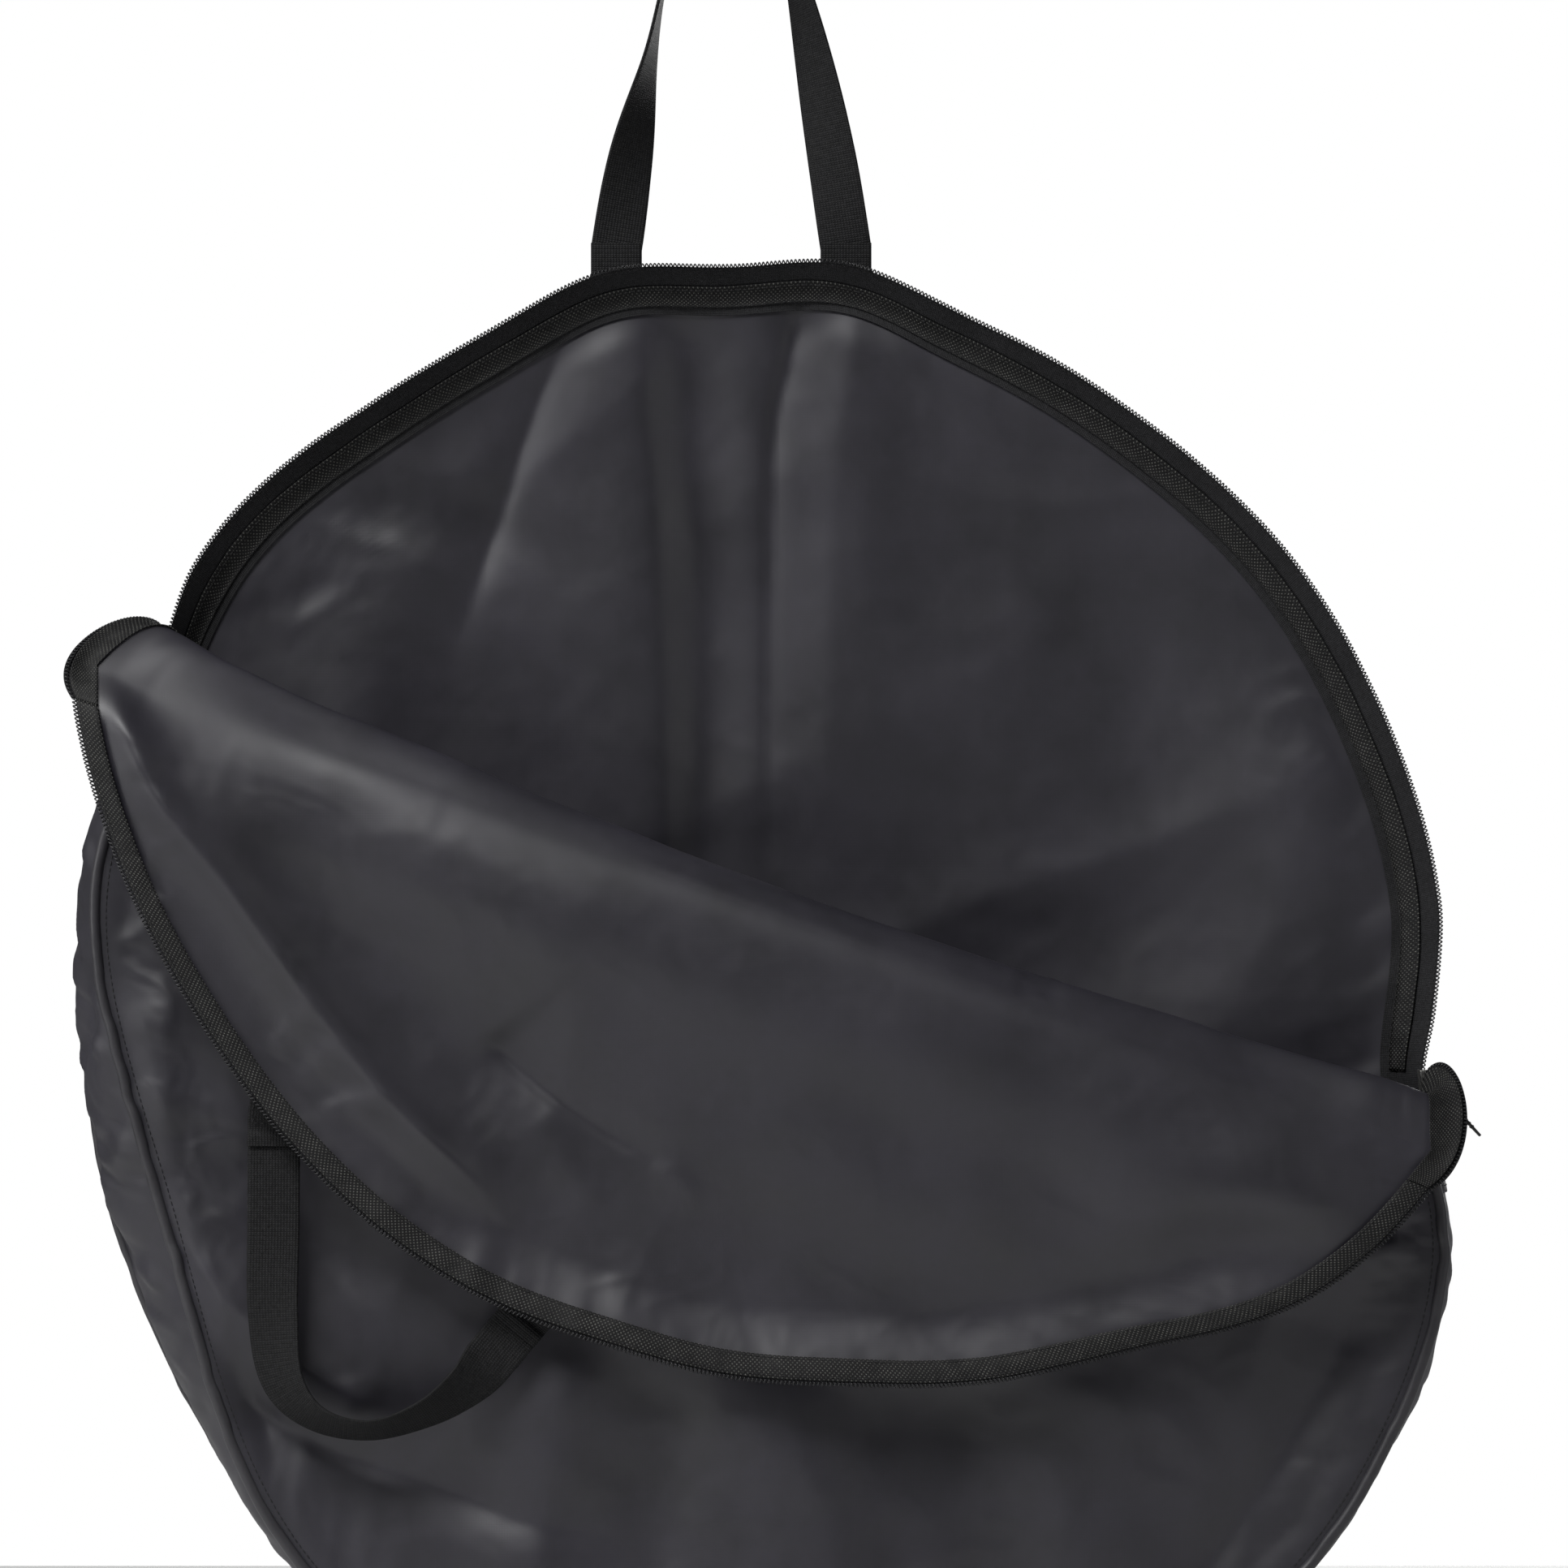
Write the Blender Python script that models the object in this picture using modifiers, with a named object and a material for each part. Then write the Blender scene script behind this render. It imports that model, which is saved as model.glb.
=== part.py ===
"""A round bike wheel bag that hangs open from its back handle.

The frame is in metres with +Z up. The origin is the middle of the back handle's grip, where
a hand or a hook carries the bag. The bag faces -Y. Its zip is open over the top, and the
upper part of the front panel is folded forward over a slanting fold, so that its inner side
shows. Angles round the bag are measured about its body centre from +X towards +Z.
"""

import math

import bmesh
import bpy
from mathutils import Matrix, Vector

# Body, seen from the front
BODY_RADIUS = 0.380
BODY_CENTRE_SIDE = 0.020
BODY_CENTRE_DEPTH = -0.022
BODY_CENTRE_DROP = 0.640
SEAM_SHARES = (
    0.918, 0.964, 0.992, 1.026, 1.053, 1.092, 1.121, 1.116,
    1.089, 1.079, 1.024, 1.013, 0.979, 0.958, 0.953, 0.966,
    0.979, 0.989, 0.989, 1.000, 1.016, 1.031, 1.018, 0.992,
)
STRAP_PEAK = 0.010
STRAP_PEAK_ANGLES = (math.radians(84.5), math.radians(101.0))
STRAP_PEAK_SPREAD = math.radians(4.5)
FRONT_DRAW_IN = 0.032
FRONT_DRAW_IN_ANGLE = math.radians(192.0)
FRONT_DRAW_IN_SPREAD = math.radians(18.0)

# Depth of the bag
GUSSET_WIDTH = 0.054
GUSSET_BULGE = 0.009
BACK_CROWN = 0.020
FRONT_CROWN = 0.016
PANEL_THICKNESS = 0.0016
GAP = 0.0003
FACET_PLAY = 0.0009
MESH_STEP = math.radians(5.0)
RING_SHARES = (0.10, 0.28, 0.46, 0.64, 0.80, 0.92, 1.0)
GUSSET_SHARES = (-1.0, -0.6, 0.0, 0.6, 1.0)
PIPING_RADIUS = 0.0032

# Zip, between its two ends
ZIP_RIGHT_ANGLE = math.radians(2.0)
ZIP_LEFT_ANGLE = math.radians(142.0)
ZIP_STUB_TURN = math.radians(9.0)
ZIP_REACH = 0.014
FLAP_ZIP_REACH = 0.0046
FLAP_ZIP_TURN = math.radians(26.0)
TAPE_THICKNESS = 0.0008
TAPE_LAP = 0.009
COIL_RADIUS = 0.0015
COIL_DEPTH = 0.010
STUB_TAPE_WIDTH = 0.030
STUB_COIL_WIDTH = 0.0060
STUB_COIL_HEIGHT = 0.0026
STUB_REACH = 0.0085
BINDING_WIDTH = 0.012
BINDING_THICKNESS = 0.0012
HEM_WIDTH = 0.016
HEM_THICKNESS = 0.0020

# Fold of the front panel
FOLD_SLOPE = math.radians(19.9)
FOLD_MIDDLE_SIDE = -0.002
FOLD_MIDDLE_RISE = 0.094
FOLD_HALF_LENGTH = 0.366
ROLL_HALF_WIDTH = 0.019
ROLL_END_TAPER_SHARE = 0.26
ROLL_RISE_MIDDLE = 0.013
ROLL_RISE_END = 0.029
ROUND_STEPS = 8
ROLL_GAP = 0.0006
FLAP_AXIS_RISE = 0.038
FLAP_AXIS_DEPTH = -0.061
FLAP_REACH = 0.394
FLAP_SHARES = (
    1.000, 0.883, 0.787, 0.723, 0.680, 0.650, 0.629,
    0.637, 0.657, 0.711, 0.784, 0.914, 1.000,
)
FLAP_END_TURN = math.radians(3.0)
TURN_BULGE = 0.012
TURN_START_PLAY = 0.003
FLAP_REST_GAP = 0.014
FLAP_REST_DROP = 0.220
FLAP_STEP = math.radians(4.5)

# Webbing handles
WEBBING_WIDTH = 0.028
WEBBING_THICKNESS = 0.0018
HANDLE_HALF_WIDTH = 0.063
STRAP_SEWN_LENGTH = 0.075
STRAP_LAP = 0.009
STRAP_LIFT = 0.003
LOOP_START = 0.0062
LOOP_TRIM_SHARE = 0.0013
LOOP_STEPS = 40
BACK_LOOP_PATH_SHARES = (
    (-1.00, 0.00), (-0.88, 0.26), (-0.71, 0.55), (-0.58, 0.78), (-0.42, 0.94),
    (0.00, 1.00), (0.42, 0.94), (0.57, 0.78), (0.72, 0.55), (0.88, 0.26), (1.00, 0.00),
)
BACK_LOOP_TWIST_SHARES = (0.0, 0.35, 0.85, 1.0, 1.0, 1.0, 0.95, 0.75, 0.50, 0.20, 0.0)
FRONT_LOOP_LEFT_ANGLE = math.radians(205.3)
FRONT_LOOP_RIGHT_ANGLE = math.radians(239.6)
FRONT_LOOP_PLAY = 0.0054
FRONT_LOOP_DROP = 0.155
FRONT_LOOP_DEPTH = -0.054
FRONT_LOOP_PATH_SHARES = (
    (0.00, 0.00), (0.00, 0.30), (0.00, 0.60), (0.04, 0.83), (0.18, 0.96), (0.40, 1.00),
    (0.63, 0.94), (0.80, 0.84), (0.90, 0.74),
)
FRONT_LOOP_TWIST_SHARES = (0.0, 0.0, 0.12, 0.35, 0.60, 0.70, 0.60, 0.35, 0.0, 0.0)
FRONT_STRAP_TURN = math.radians(50.0)

# Sliders and pull tabs
SLIDER_LENGTH = 0.016
SLIDER_WIDTH = 0.014
SLIDER_PLATE = 0.0014
SLIDER_WEB = 0.0030
SLIDER_PLAY = 0.0005
BAIL_WIDTH = 0.0044
BAIL_LENGTH = 0.0094
BAIL_RISE = 0.0056
BAIL_WALL = 0.0012
PULL_LENGTH = 0.036
PULL_WIDTH = 0.0095
PULL_THICKNESS = 0.0014
PULL_BAR = 0.0018
PULL_EYE_LENGTH = 0.0080
PULL_EYE_WIDTH = 0.0060
PULL_RIGHT_LEAN = math.radians(38.0)
PULL_LEFT_LEAN = math.radians(20.0)
RIGHT_ARC_CENTRE_SIDE = 0.025
RIGHT_ARC_CENTRE_RISE = 0.068
LEFT_ARC_CENTRE_SIDE = -0.053
LEFT_ARC_CENTRE_RISE = 0.084
SLIDER_RIGHT_ANGLE = math.radians(-0.5)
SLIDER_LEFT_ANGLE = math.radians(144.5)

# Each finish is its colour, its roughness and how metallic it is
OUTER_FABRIC = ((0.030, 0.029, 0.033), 0.50, 0.0)
INNER_FABRIC = ((0.040, 0.039, 0.044), 0.55, 0.0)
PIPING = ((0.030, 0.029, 0.033), 0.45, 0.0)
WEBBING = ((0.012, 0.012, 0.013), 0.75, 0.0)
BINDING = ((0.012, 0.012, 0.013), 0.80, 0.0)
ZIP_TAPE = ((0.015, 0.015, 0.016), 0.75, 0.0)
ZIP_COIL = ((0.015, 0.015, 0.016), 0.35, 0.0)
PULL_PLASTIC = ((0.015, 0.015, 0.016), 0.60, 0.0)
SLIDER_METAL = ((0.55, 0.55, 0.56), 0.32, 1.0)

HALF_TURN = math.pi
FULL_TURN = 2.0 * math.pi
BODY_CENTRE = Vector((BODY_CENTRE_SIDE, BODY_CENTRE_DEPTH, -BODY_CENTRE_DROP))
RIM_DEPTH = GUSSET_WIDTH / 2.0
CHORD_SAG = BODY_RADIUS * (1.0 - math.cos(MESH_STEP / 2.0))
PANEL_INSET = PIPING_RADIUS + GAP + CHORD_SAG
HALF_PANEL = PANEL_THICKNESS / 2.0
HALF_TAPE = TAPE_THICKNESS / 2.0
HALF_WEBBING = WEBBING_THICKNESS / 2.0
TAPE_OFFSET = HALF_PANEL + GAP + HALF_TAPE
BINDING_OFFSET = TAPE_OFFSET + HALF_TAPE + GAP + BINDING_THICKNESS / 2.0
STRAP_OFFSET = HALF_PANEL + FACET_PLAY + HALF_WEBBING
FOLD_ALONG = Vector((math.cos(FOLD_SLOPE), 0.0, -math.sin(FOLD_SLOPE)))
FOLD_UP = Vector((math.sin(FOLD_SLOPE), 0.0, math.cos(FOLD_SLOPE)))
FOLD_MIDDLE = Vector((FOLD_MIDDLE_SIDE, 0.0, FOLD_MIDDLE_RISE))
FOLD_LEFT_ANGLE = HALF_TURN - FOLD_SLOPE
FRONT_EDGE_SEARCH = 2.0 * BODY_RADIUS
SLIDER_SLOT = STUB_COIL_HEIGHT + 2.0 * SLIDER_PLAY
FLAP_AXIS = FOLD_MIDDLE + FOLD_UP * FLAP_AXIS_RISE + Vector((0.0, FLAP_AXIS_DEPTH, 0.0))


def spaced(start, end, step):
    """Values from start to end, evenly spaced by about step, with both ends."""
    count = max(2, round(abs(end - start) / step) + 1)
    return [start + (end - start) * index / (count - 1) for index in range(count)]


def cubic(before, low, high, after, share):
    """The smooth value between low and high, at a share of the way."""
    slope_low = (high - before) / 2.0
    slope_high = (after - low) / 2.0
    square = share * share
    cube = square * share
    return (
        low * (2.0 * cube - 3.0 * square + 1.0)
        + slope_low * (cube - 2.0 * square + share)
        + high * (3.0 * square - 2.0 * cube)
        + slope_high * (cube - square)
    )


def round_share(shares, angle):
    """The share at an angle, from shares that are evenly spaced round a full turn."""
    place = (angle % FULL_TURN) / FULL_TURN * len(shares)
    index = int(place)
    around = [shares[(index + step) % len(shares)] for step in (-1, 0, 1, 2)]
    return cubic(*around, place - index)


def line_share(shares, share):
    """The value at a share of the way along a list of evenly spaced numbers or vectors."""
    place = min(max(share, 0.0), 1.0) * (len(shares) - 1)
    index = min(int(place), len(shares) - 2)
    low, high = shares[index], shares[index + 1]
    before = shares[index - 1] if index > 0 else low * 2.0 - high
    after = shares[index + 2] if index + 2 < len(shares) else high * 2.0 - low
    return cubic(before, low, high, after, place - index)


def hump(angle, middle, spread):
    """A smooth hump of height 1 round an angle."""
    away = (angle - middle + HALF_TURN) % FULL_TURN - HALF_TURN
    return math.exp(-0.5 * (away / spread) ** 2)


def seam_radius(angle):
    """Distance from the body centre to the back panel's seam."""
    peaks = sum(hump(angle, middle, STRAP_PEAK_SPREAD) for middle in STRAP_PEAK_ANGLES)
    return BODY_RADIUS * round_share(SEAM_SHARES, angle) + STRAP_PEAK * peaks


def front_seam_radius(angle):
    """Distance from the body centre to the front panel's seam, drawn in at the left."""
    draw_in = hump(angle, FRONT_DRAW_IN_ANGLE, FRONT_DRAW_IN_SPREAD)
    return seam_radius(angle) - FRONT_DRAW_IN * draw_in


def at_angle(radius, angle, depth):
    """A point of the bag from its polar place round the body centre, and its depth."""
    return Vector((radius * math.cos(angle), depth, radius * math.sin(angle)))


def crown(side, rise, height, radius_at):
    """How far a panel swells at a place, from nothing at its seam to height in the middle."""
    angle = math.atan2(rise, side)
    share = math.hypot(side, rise) / radius_at(angle)
    return height * max(0.0, 1.0 - share * share)


def back_depth(side, rise):
    """Depth of the back panel's middle surface."""
    return RIM_DEPTH + crown(side, rise, BACK_CROWN, seam_radius)


def front_depth(side, rise):
    """Depth of the front panel's middle surface."""
    return -RIM_DEPTH - crown(side, rise, FRONT_CROWN, front_seam_radius)


def fold_place(point):
    """Where a point lies along the fold, and how far it lies below the fold's base line."""
    offset = Vector((point[0], 0.0, point[2])) - FOLD_MIDDLE
    return offset.dot(FOLD_ALONG), -offset.dot(FOLD_UP)


def roll_half_width(along):
    """Half the width of the roll at a place along the fold."""
    share = min(abs(along) / FOLD_HALF_LENGTH, 1.0)
    return ROLL_HALF_WIDTH * (1.0 - ROLL_END_TAPER_SHARE * share * share)


def flap_depth(side, rise):
    """Depth of the flap's middle surface, which leans towards the panel behind it."""
    along, below = fold_place((side, 0.0, rise))
    lean = max(0.0, 1.0 - below / FLAP_REST_DROP)
    spare = 2.0 * roll_half_width(along) - FLAP_REST_GAP
    return front_depth(side, rise) - FLAP_REST_GAP - spare * lean * lean


def flap_radius(angle):
    """Distance from the fold's middle to the outer edge of the flap's coil."""
    share = (angle - FOLD_LEFT_ANGLE) / HALF_TURN
    return FLAP_REACH * line_share(FLAP_SHARES, share)


def flap_zip_reach(angle):
    """How far the flap's coil stands past its cloth, which is least away from the fold."""
    away = min(angle - FOLD_LEFT_ANGLE, FOLD_LEFT_ANGLE + HALF_TURN - angle)
    share = min(1.0, max(0.0, away / FLAP_ZIP_TURN))
    ease = share * share * (3.0 - 2.0 * share)
    return ZIP_REACH + (FLAP_ZIP_REACH - ZIP_REACH) * ease


def at_flap(radius, angle, lift=0.0):
    """A point on the flap from its polar place round the fold's middle."""
    side = FOLD_MIDDLE.x + radius * math.cos(angle)
    rise = FOLD_MIDDLE.z + radius * math.sin(angle)
    return Vector((side, flap_depth(side, rise) + lift, rise))


def front_edge_radius(angle):
    """Distance from the fold's middle to the front panel's edge, found by halving."""
    low, high = 0.0, FRONT_EDGE_SEARCH
    while high - low > GAP / 10.0:
        middle = (low + high) / 2.0
        side = FOLD_MIDDLE.x + middle * math.cos(angle)
        rise = FOLD_MIDDLE.z + middle * math.sin(angle)
        edge = front_seam_radius(math.atan2(rise, side)) - PANEL_INSET - CHORD_SAG
        if math.hypot(side, rise) < edge:
            low = middle
        else:
            high = middle
    return low


def material(name, colour, roughness, metallic):
    """A Principled material with one colour."""
    made = bpy.data.materials.new(name)
    made.use_nodes = True
    shader = made.node_tree.nodes["Principled BSDF"]
    shader.inputs["Base Color"].default_value = (*colour, 1.0)
    shader.inputs["Roughness"].default_value = roughness
    shader.inputs["Metallic"].default_value = metallic
    made.diffuse_color = (*colour, 1.0)
    return made


def new_collection(name):
    """A new collection in the scene."""
    made = bpy.data.collections.new(name)
    bpy.context.scene.collection.children.link(made)
    return made


def add_object(name, mesh, look, smooth=True):
    """An object of the bag from a mesh, with its own material."""
    mesh.materials.append(material(name, *look))
    if smooth:
        mesh.shade_smooth()
    made = bpy.data.objects.new(name, mesh)
    BAG.objects.link(made)
    made.parent = BODY
    return made


def strip_mesh(name, rows, closed=False, cap=False):
    """An open surface through rows of points, and with cap a face over its first row."""
    build = bmesh.new()
    lines = [[build.verts.new(point) for point in row] for row in rows]
    for low, high in zip(lines, lines[1:]):
        count = len(low)
        for index in range(count if closed else count - 1):
            after = (index + 1) % count
            build.faces.new((low[index], low[after], high[after], high[index]))
    if cap:
        build.faces.new(list(reversed(lines[0])))
    bmesh.ops.recalc_face_normals(build, faces=build.faces)
    mesh = bpy.data.meshes.new(name)
    build.to_mesh(mesh)
    build.free()
    return mesh


def cloth(name, rows, thickness, look, closed=False, cap=False):
    """A sheet of cloth: an open surface with an even thickness."""
    made = add_object(name, strip_mesh(name, rows, closed, cap), look)
    solid = made.modifiers.new("Thickness", "SOLIDIFY")
    solid.thickness = thickness
    solid.offset = 0.0
    solid.use_even_offset = True
    return made


def curve_object(name, points, radius, look):
    """A round cord through points, with closed ends."""
    data = bpy.data.curves.new(name, "CURVE")
    data.dimensions = "3D"
    data.bevel_depth = radius
    data.bevel_resolution = 2
    data.use_fill_caps = True
    spline = data.splines.new("POLY")
    spline.points.add(len(points) - 1)
    for place, point in zip(spline.points, points):
        place.co = (*point, 1.0)
    data.materials.append(material(name, *look))
    made = bpy.data.objects.new(name, data)
    BAG.objects.link(made)
    made.parent = BODY
    return made


def outline_mesh(name, outlines, thickness):
    """A flat plate from outlines in its own plane; the second outline is a hole."""
    data = bpy.data.curves.new(name, "CURVE")
    data.dimensions = "2D"
    data.fill_mode = "BOTH"
    data.extrude = thickness / 2.0
    for outline in outlines:
        spline = data.splines.new("POLY")
        spline.points.add(len(outline) - 1)
        spline.use_cyclic_u = True
        for place, (across, up) in zip(spline.points, outline):
            place.co = (across, up, 0.0, 1.0)
    made = bpy.data.objects.new(name, data)
    CUTTERS.objects.link(made)
    bpy.context.view_layer.update()
    evaluated = made.evaluated_get(bpy.context.evaluated_depsgraph_get())
    mesh = bpy.data.meshes.new_from_object(evaluated)
    bpy.data.objects.remove(made)
    build = bmesh.new()
    build.from_mesh(mesh)
    bmesh.ops.remove_doubles(build, verts=build.verts, dist=GAP / 10.0)
    build.to_mesh(mesh)
    build.free()
    return mesh


def set_on_axis(made, origin):
    """Moves an object's own origin to its joint's axis, with its mesh left in place."""
    made.data.transform(Matrix.Translation(-origin))
    made.location = origin


def body_angles(start, end):
    """Angles round the body from start to end, on steps that all its pieces share."""
    first = math.floor(start / MESH_STEP + 0.5) + 1
    last = math.ceil(end / MESH_STEP - 0.5) - 1
    return [start] + [MESH_STEP * step for step in range(first, last + 1)] + [end]


def make_back_panel():
    """The whole round back panel, swelling to the back."""
    angles = body_angles(0.0, FULL_TURN)[:-1]
    rows = []
    for share in RING_SHARES:
        row = []
        for angle in angles:
            radius = share * (seam_radius(angle) - PANEL_INSET)
            place = at_angle(radius, angle, 0.0)
            row.append(Vector((place.x, back_depth(place.x, place.z), place.z)))
        rows.append(row)
    cloth("back_panel", rows, PANEL_THICKNESS, INNER_FABRIC, closed=True, cap=True)


def fan_mesh(name, radius_at, place):
    """A half round sheet that fans out below the fold, from the middle of the fold."""
    build = bmesh.new()
    angles = spaced(FOLD_LEFT_ANGLE, FOLD_LEFT_ANGLE + HALF_TURN, FLAP_STEP)
    lines = []
    for share in RING_SHARES:
        row = [place(share * radius_at(angle), angle) for angle in angles]
        lines.append([build.verts.new(point) for point in row])
    middle = build.verts.new(lines[0][0].co.lerp(lines[0][-1].co, 0.5))
    for index in range(len(angles) - 1):
        build.faces.new((middle, lines[0][index], lines[0][index + 1]))
    for low, high in zip(lines, lines[1:]):
        for index in range(len(low) - 1):
            build.faces.new((low[index], high[index], high[index + 1], low[index + 1]))
    bmesh.ops.recalc_face_normals(build, faces=build.faces)
    mesh = bpy.data.meshes.new(name)
    build.to_mesh(mesh)
    build.free()
    return mesh


def fan_cloth(name, radius_at, place, look):
    """A half round sheet of cloth below the fold."""
    made = add_object(name, fan_mesh(name, radius_at, place), look)
    solid = made.modifiers.new("Thickness", "SOLIDIFY")
    solid.thickness = PANEL_THICKNESS
    solid.offset = 0.0
    solid.use_even_offset = True
    return made


def make_front_panel():
    """The lower front panel, up to the base line of the fold."""

    def place(radius, angle):
        side = FOLD_MIDDLE.x + radius * math.cos(angle)
        rise = FOLD_MIDDLE.z + radius * math.sin(angle)
        return Vector((side, front_depth(side, rise), rise))

    fan_cloth("front_panel", front_edge_radius, place, OUTER_FABRIC)


def make_fold_roll():
    """The soft roll between the front panel and the flap."""
    rows = []
    for along in spaced(-FOLD_HALF_LENGTH, FOLD_HALF_LENGTH, BODY_RADIUS * MESH_STEP):
        base = FOLD_MIDDLE + FOLD_ALONG * along
        panel = front_depth(base.x, base.z)
        half = roll_half_width(along)
        share = along / FOLD_HALF_LENGTH
        rise = ROLL_RISE_MIDDLE + (ROLL_RISE_END - ROLL_RISE_MIDDLE) * share * share
        row = []
        for step in range(ROUND_STEPS + 1):
            turn = HALF_TURN * step / ROUND_STEPS
            up = ROLL_GAP + rise * math.sin(turn)
            depth = panel - half + half * math.cos(turn)
            row.append(base + FOLD_UP * up + Vector((0.0, depth, 0.0)))
        rows.append(row)
    cloth("fold_roll", rows, PANEL_THICKNESS, OUTER_FABRIC)


def make_gusset():
    """The strip that joins the two panels below the zip's ends."""
    edge = RIM_DEPTH - PANEL_INSET
    first = ZIP_LEFT_ANGLE + ZIP_STUB_TURN
    last = ZIP_RIGHT_ANGLE - ZIP_STUB_TURN + FULL_TURN
    rows = []
    for angle in body_angles(first, last):
        row = []
        for share in GUSSET_SHARES:
            mix = (share + 1.0) / 2.0
            seam = front_seam_radius(angle) * (1.0 - mix) + seam_radius(angle) * mix
            radius = seam + GUSSET_BULGE * (1.0 - share * share)
            row.append(at_angle(radius, angle, share * edge))
        rows.append(row)
    cloth("gusset", rows, PANEL_THICKNESS, OUTER_FABRIC)


def make_hem(name, angle, towards):
    """The turned hem that closes one upper end of the gusset, outside its cloth."""
    edge = RIM_DEPTH - PANEL_INSET
    lift = HALF_PANEL + FACET_PLAY + HEM_THICKNESS / 2.0
    turn = HEM_WIDTH / BODY_RADIUS
    rows = []
    for place in (angle, angle + towards * turn):
        row = []
        for share in GUSSET_SHARES:
            mix = (share + 1.0) / 2.0
            seam = front_seam_radius(place) * (1.0 - mix) + seam_radius(place) * mix
            radius = seam + GUSSET_BULGE * (1.0 - share * share) + lift
            row.append(at_angle(radius, place, share * edge))
        rows.append(row)
    cloth(name, rows, HEM_THICKNESS, OUTER_FABRIC)


def make_piping():
    """The corded piping in the two seams of the gusset."""
    first = ZIP_LEFT_ANGLE + ZIP_STUB_TURN
    last = ZIP_RIGHT_ANGLE - ZIP_STUB_TURN + FULL_TURN
    angles = body_angles(first, last)
    for name, radius_at, depth in (
        ("piping_front", front_seam_radius, -RIM_DEPTH),
        ("piping_back", seam_radius, RIM_DEPTH),
    ):
        points = [at_angle(radius_at(angle), angle, depth) for angle in angles]
        curve_object(name, points, PIPING_RADIUS, PIPING)


def back_zip_point(angle, reach, offset):
    """A point of the open zip behind, at a reach past the seam and an offset inwards."""
    radius = seam_radius(angle) + reach
    if reach <= -GAP:
        inner = at_angle(radius, angle, 0.0)
        return at_angle(radius, angle, back_depth(inner.x, inner.z) - offset)
    share = reach / ZIP_REACH
    depth = (RIM_DEPTH - offset) * (1.0 - share) + COIL_DEPTH * share
    return at_angle(radius, angle, depth)


def make_back_zip():
    """The half of the zip that stays on the back panel, and the binding of its seam."""
    angles = body_angles(ZIP_RIGHT_ANGLE, ZIP_LEFT_ANGLE)
    coil_reach = ZIP_REACH - COIL_RADIUS
    slope = math.hypot(ZIP_REACH, RIM_DEPTH - COIL_DEPTH) / ZIP_REACH
    tape_end = coil_reach - (COIL_RADIUS + GAP) / slope
    inner = -PANEL_INSET - TAPE_LAP
    tape = []
    binding = []
    for angle in angles:
        reaches = (inner, -PANEL_INSET, tape_end)
        tape.append([back_zip_point(angle, reach, TAPE_OFFSET) for reach in reaches])
        reaches = (-PANEL_INSET - BINDING_WIDTH, -PANEL_INSET)
        binding.append([back_zip_point(angle, reach, BINDING_OFFSET) for reach in reaches])
    cloth("zip_tape_back", tape, TAPE_THICKNESS, ZIP_TAPE)
    cloth("binding_back", binding, BINDING_THICKNESS, BINDING)
    points = [back_zip_point(angle, coil_reach, TAPE_OFFSET) for angle in angles]
    curve_object("zip_coil_back", points, COIL_RADIUS, ZIP_COIL)


def make_flap():
    """The folded upper front panel with its half of the zip and its binding."""
    fan_cloth(
        "front_flap",
        lambda angle: flap_radius(angle) - flap_zip_reach(angle),
        at_flap,
        INNER_FABRIC,
    )
    first = FOLD_LEFT_ANGLE + FLAP_END_TURN
    last = FOLD_LEFT_ANGLE + HALF_TURN - FLAP_END_TURN
    angles = spaced(first, last, FLAP_STEP)
    coil = 2.0 * COIL_RADIUS
    tape = []
    binding = []
    for angle in angles:
        edge = flap_radius(angle)
        reach = flap_zip_reach(angle)
        insets = (reach + TAPE_LAP, reach, coil + GAP)
        tape.append([at_flap(edge - inset, angle, -TAPE_OFFSET) for inset in insets])
        insets = (reach + BINDING_WIDTH, reach)
        binding.append([at_flap(edge - inset, angle, -BINDING_OFFSET) for inset in insets])
    cloth("zip_tape_flap", tape, TAPE_THICKNESS, ZIP_TAPE)
    cloth("binding_flap", binding, BINDING_THICKNESS, BINDING)
    points = [
        at_flap(flap_radius(angle) - COIL_RADIUS, angle, -TAPE_OFFSET) for angle in angles
    ]
    curve_object("zip_coil_flap", points, COIL_RADIUS, ZIP_COIL)


def stub_radius(angle):
    """Distance from the body centre to the middle of the zip's closed stub."""
    return seam_radius(angle) + STUB_REACH


def make_zip_stub(name, start, end):
    """The closed stub of the zip between its mouth and the gusset, with its coil bead."""
    half = STUB_TAPE_WIDTH / 2.0
    bead = STUB_COIL_WIDTH / 2.0
    top = STUB_COIL_HEIGHT / 2.0
    section = (
        (-half, -HALF_TAPE), (-bead, -HALF_TAPE), (-bead, -top), (bead, -top),
        (bead, -HALF_TAPE), (half, -HALF_TAPE), (half, HALF_TAPE), (bead, HALF_TAPE),
        (bead, top), (-bead, top), (-bead, HALF_TAPE), (-half, HALF_TAPE),
    )
    rows = []
    for angle in spaced(start, end, MESH_STEP / 2.0):
        radius = stub_radius(angle)
        rows.append([at_angle(radius + up, angle, depth) for depth, up in section])
    mesh = strip_mesh(name, rows, closed=True)
    build = bmesh.new()
    build.from_mesh(mesh)
    bmesh.ops.holes_fill(build, edges=build.edges)
    bmesh.ops.recalc_face_normals(build, faces=build.faces)
    build.to_mesh(mesh)
    build.free()
    add_object(name, mesh, ZIP_TAPE, smooth=False)


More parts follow.
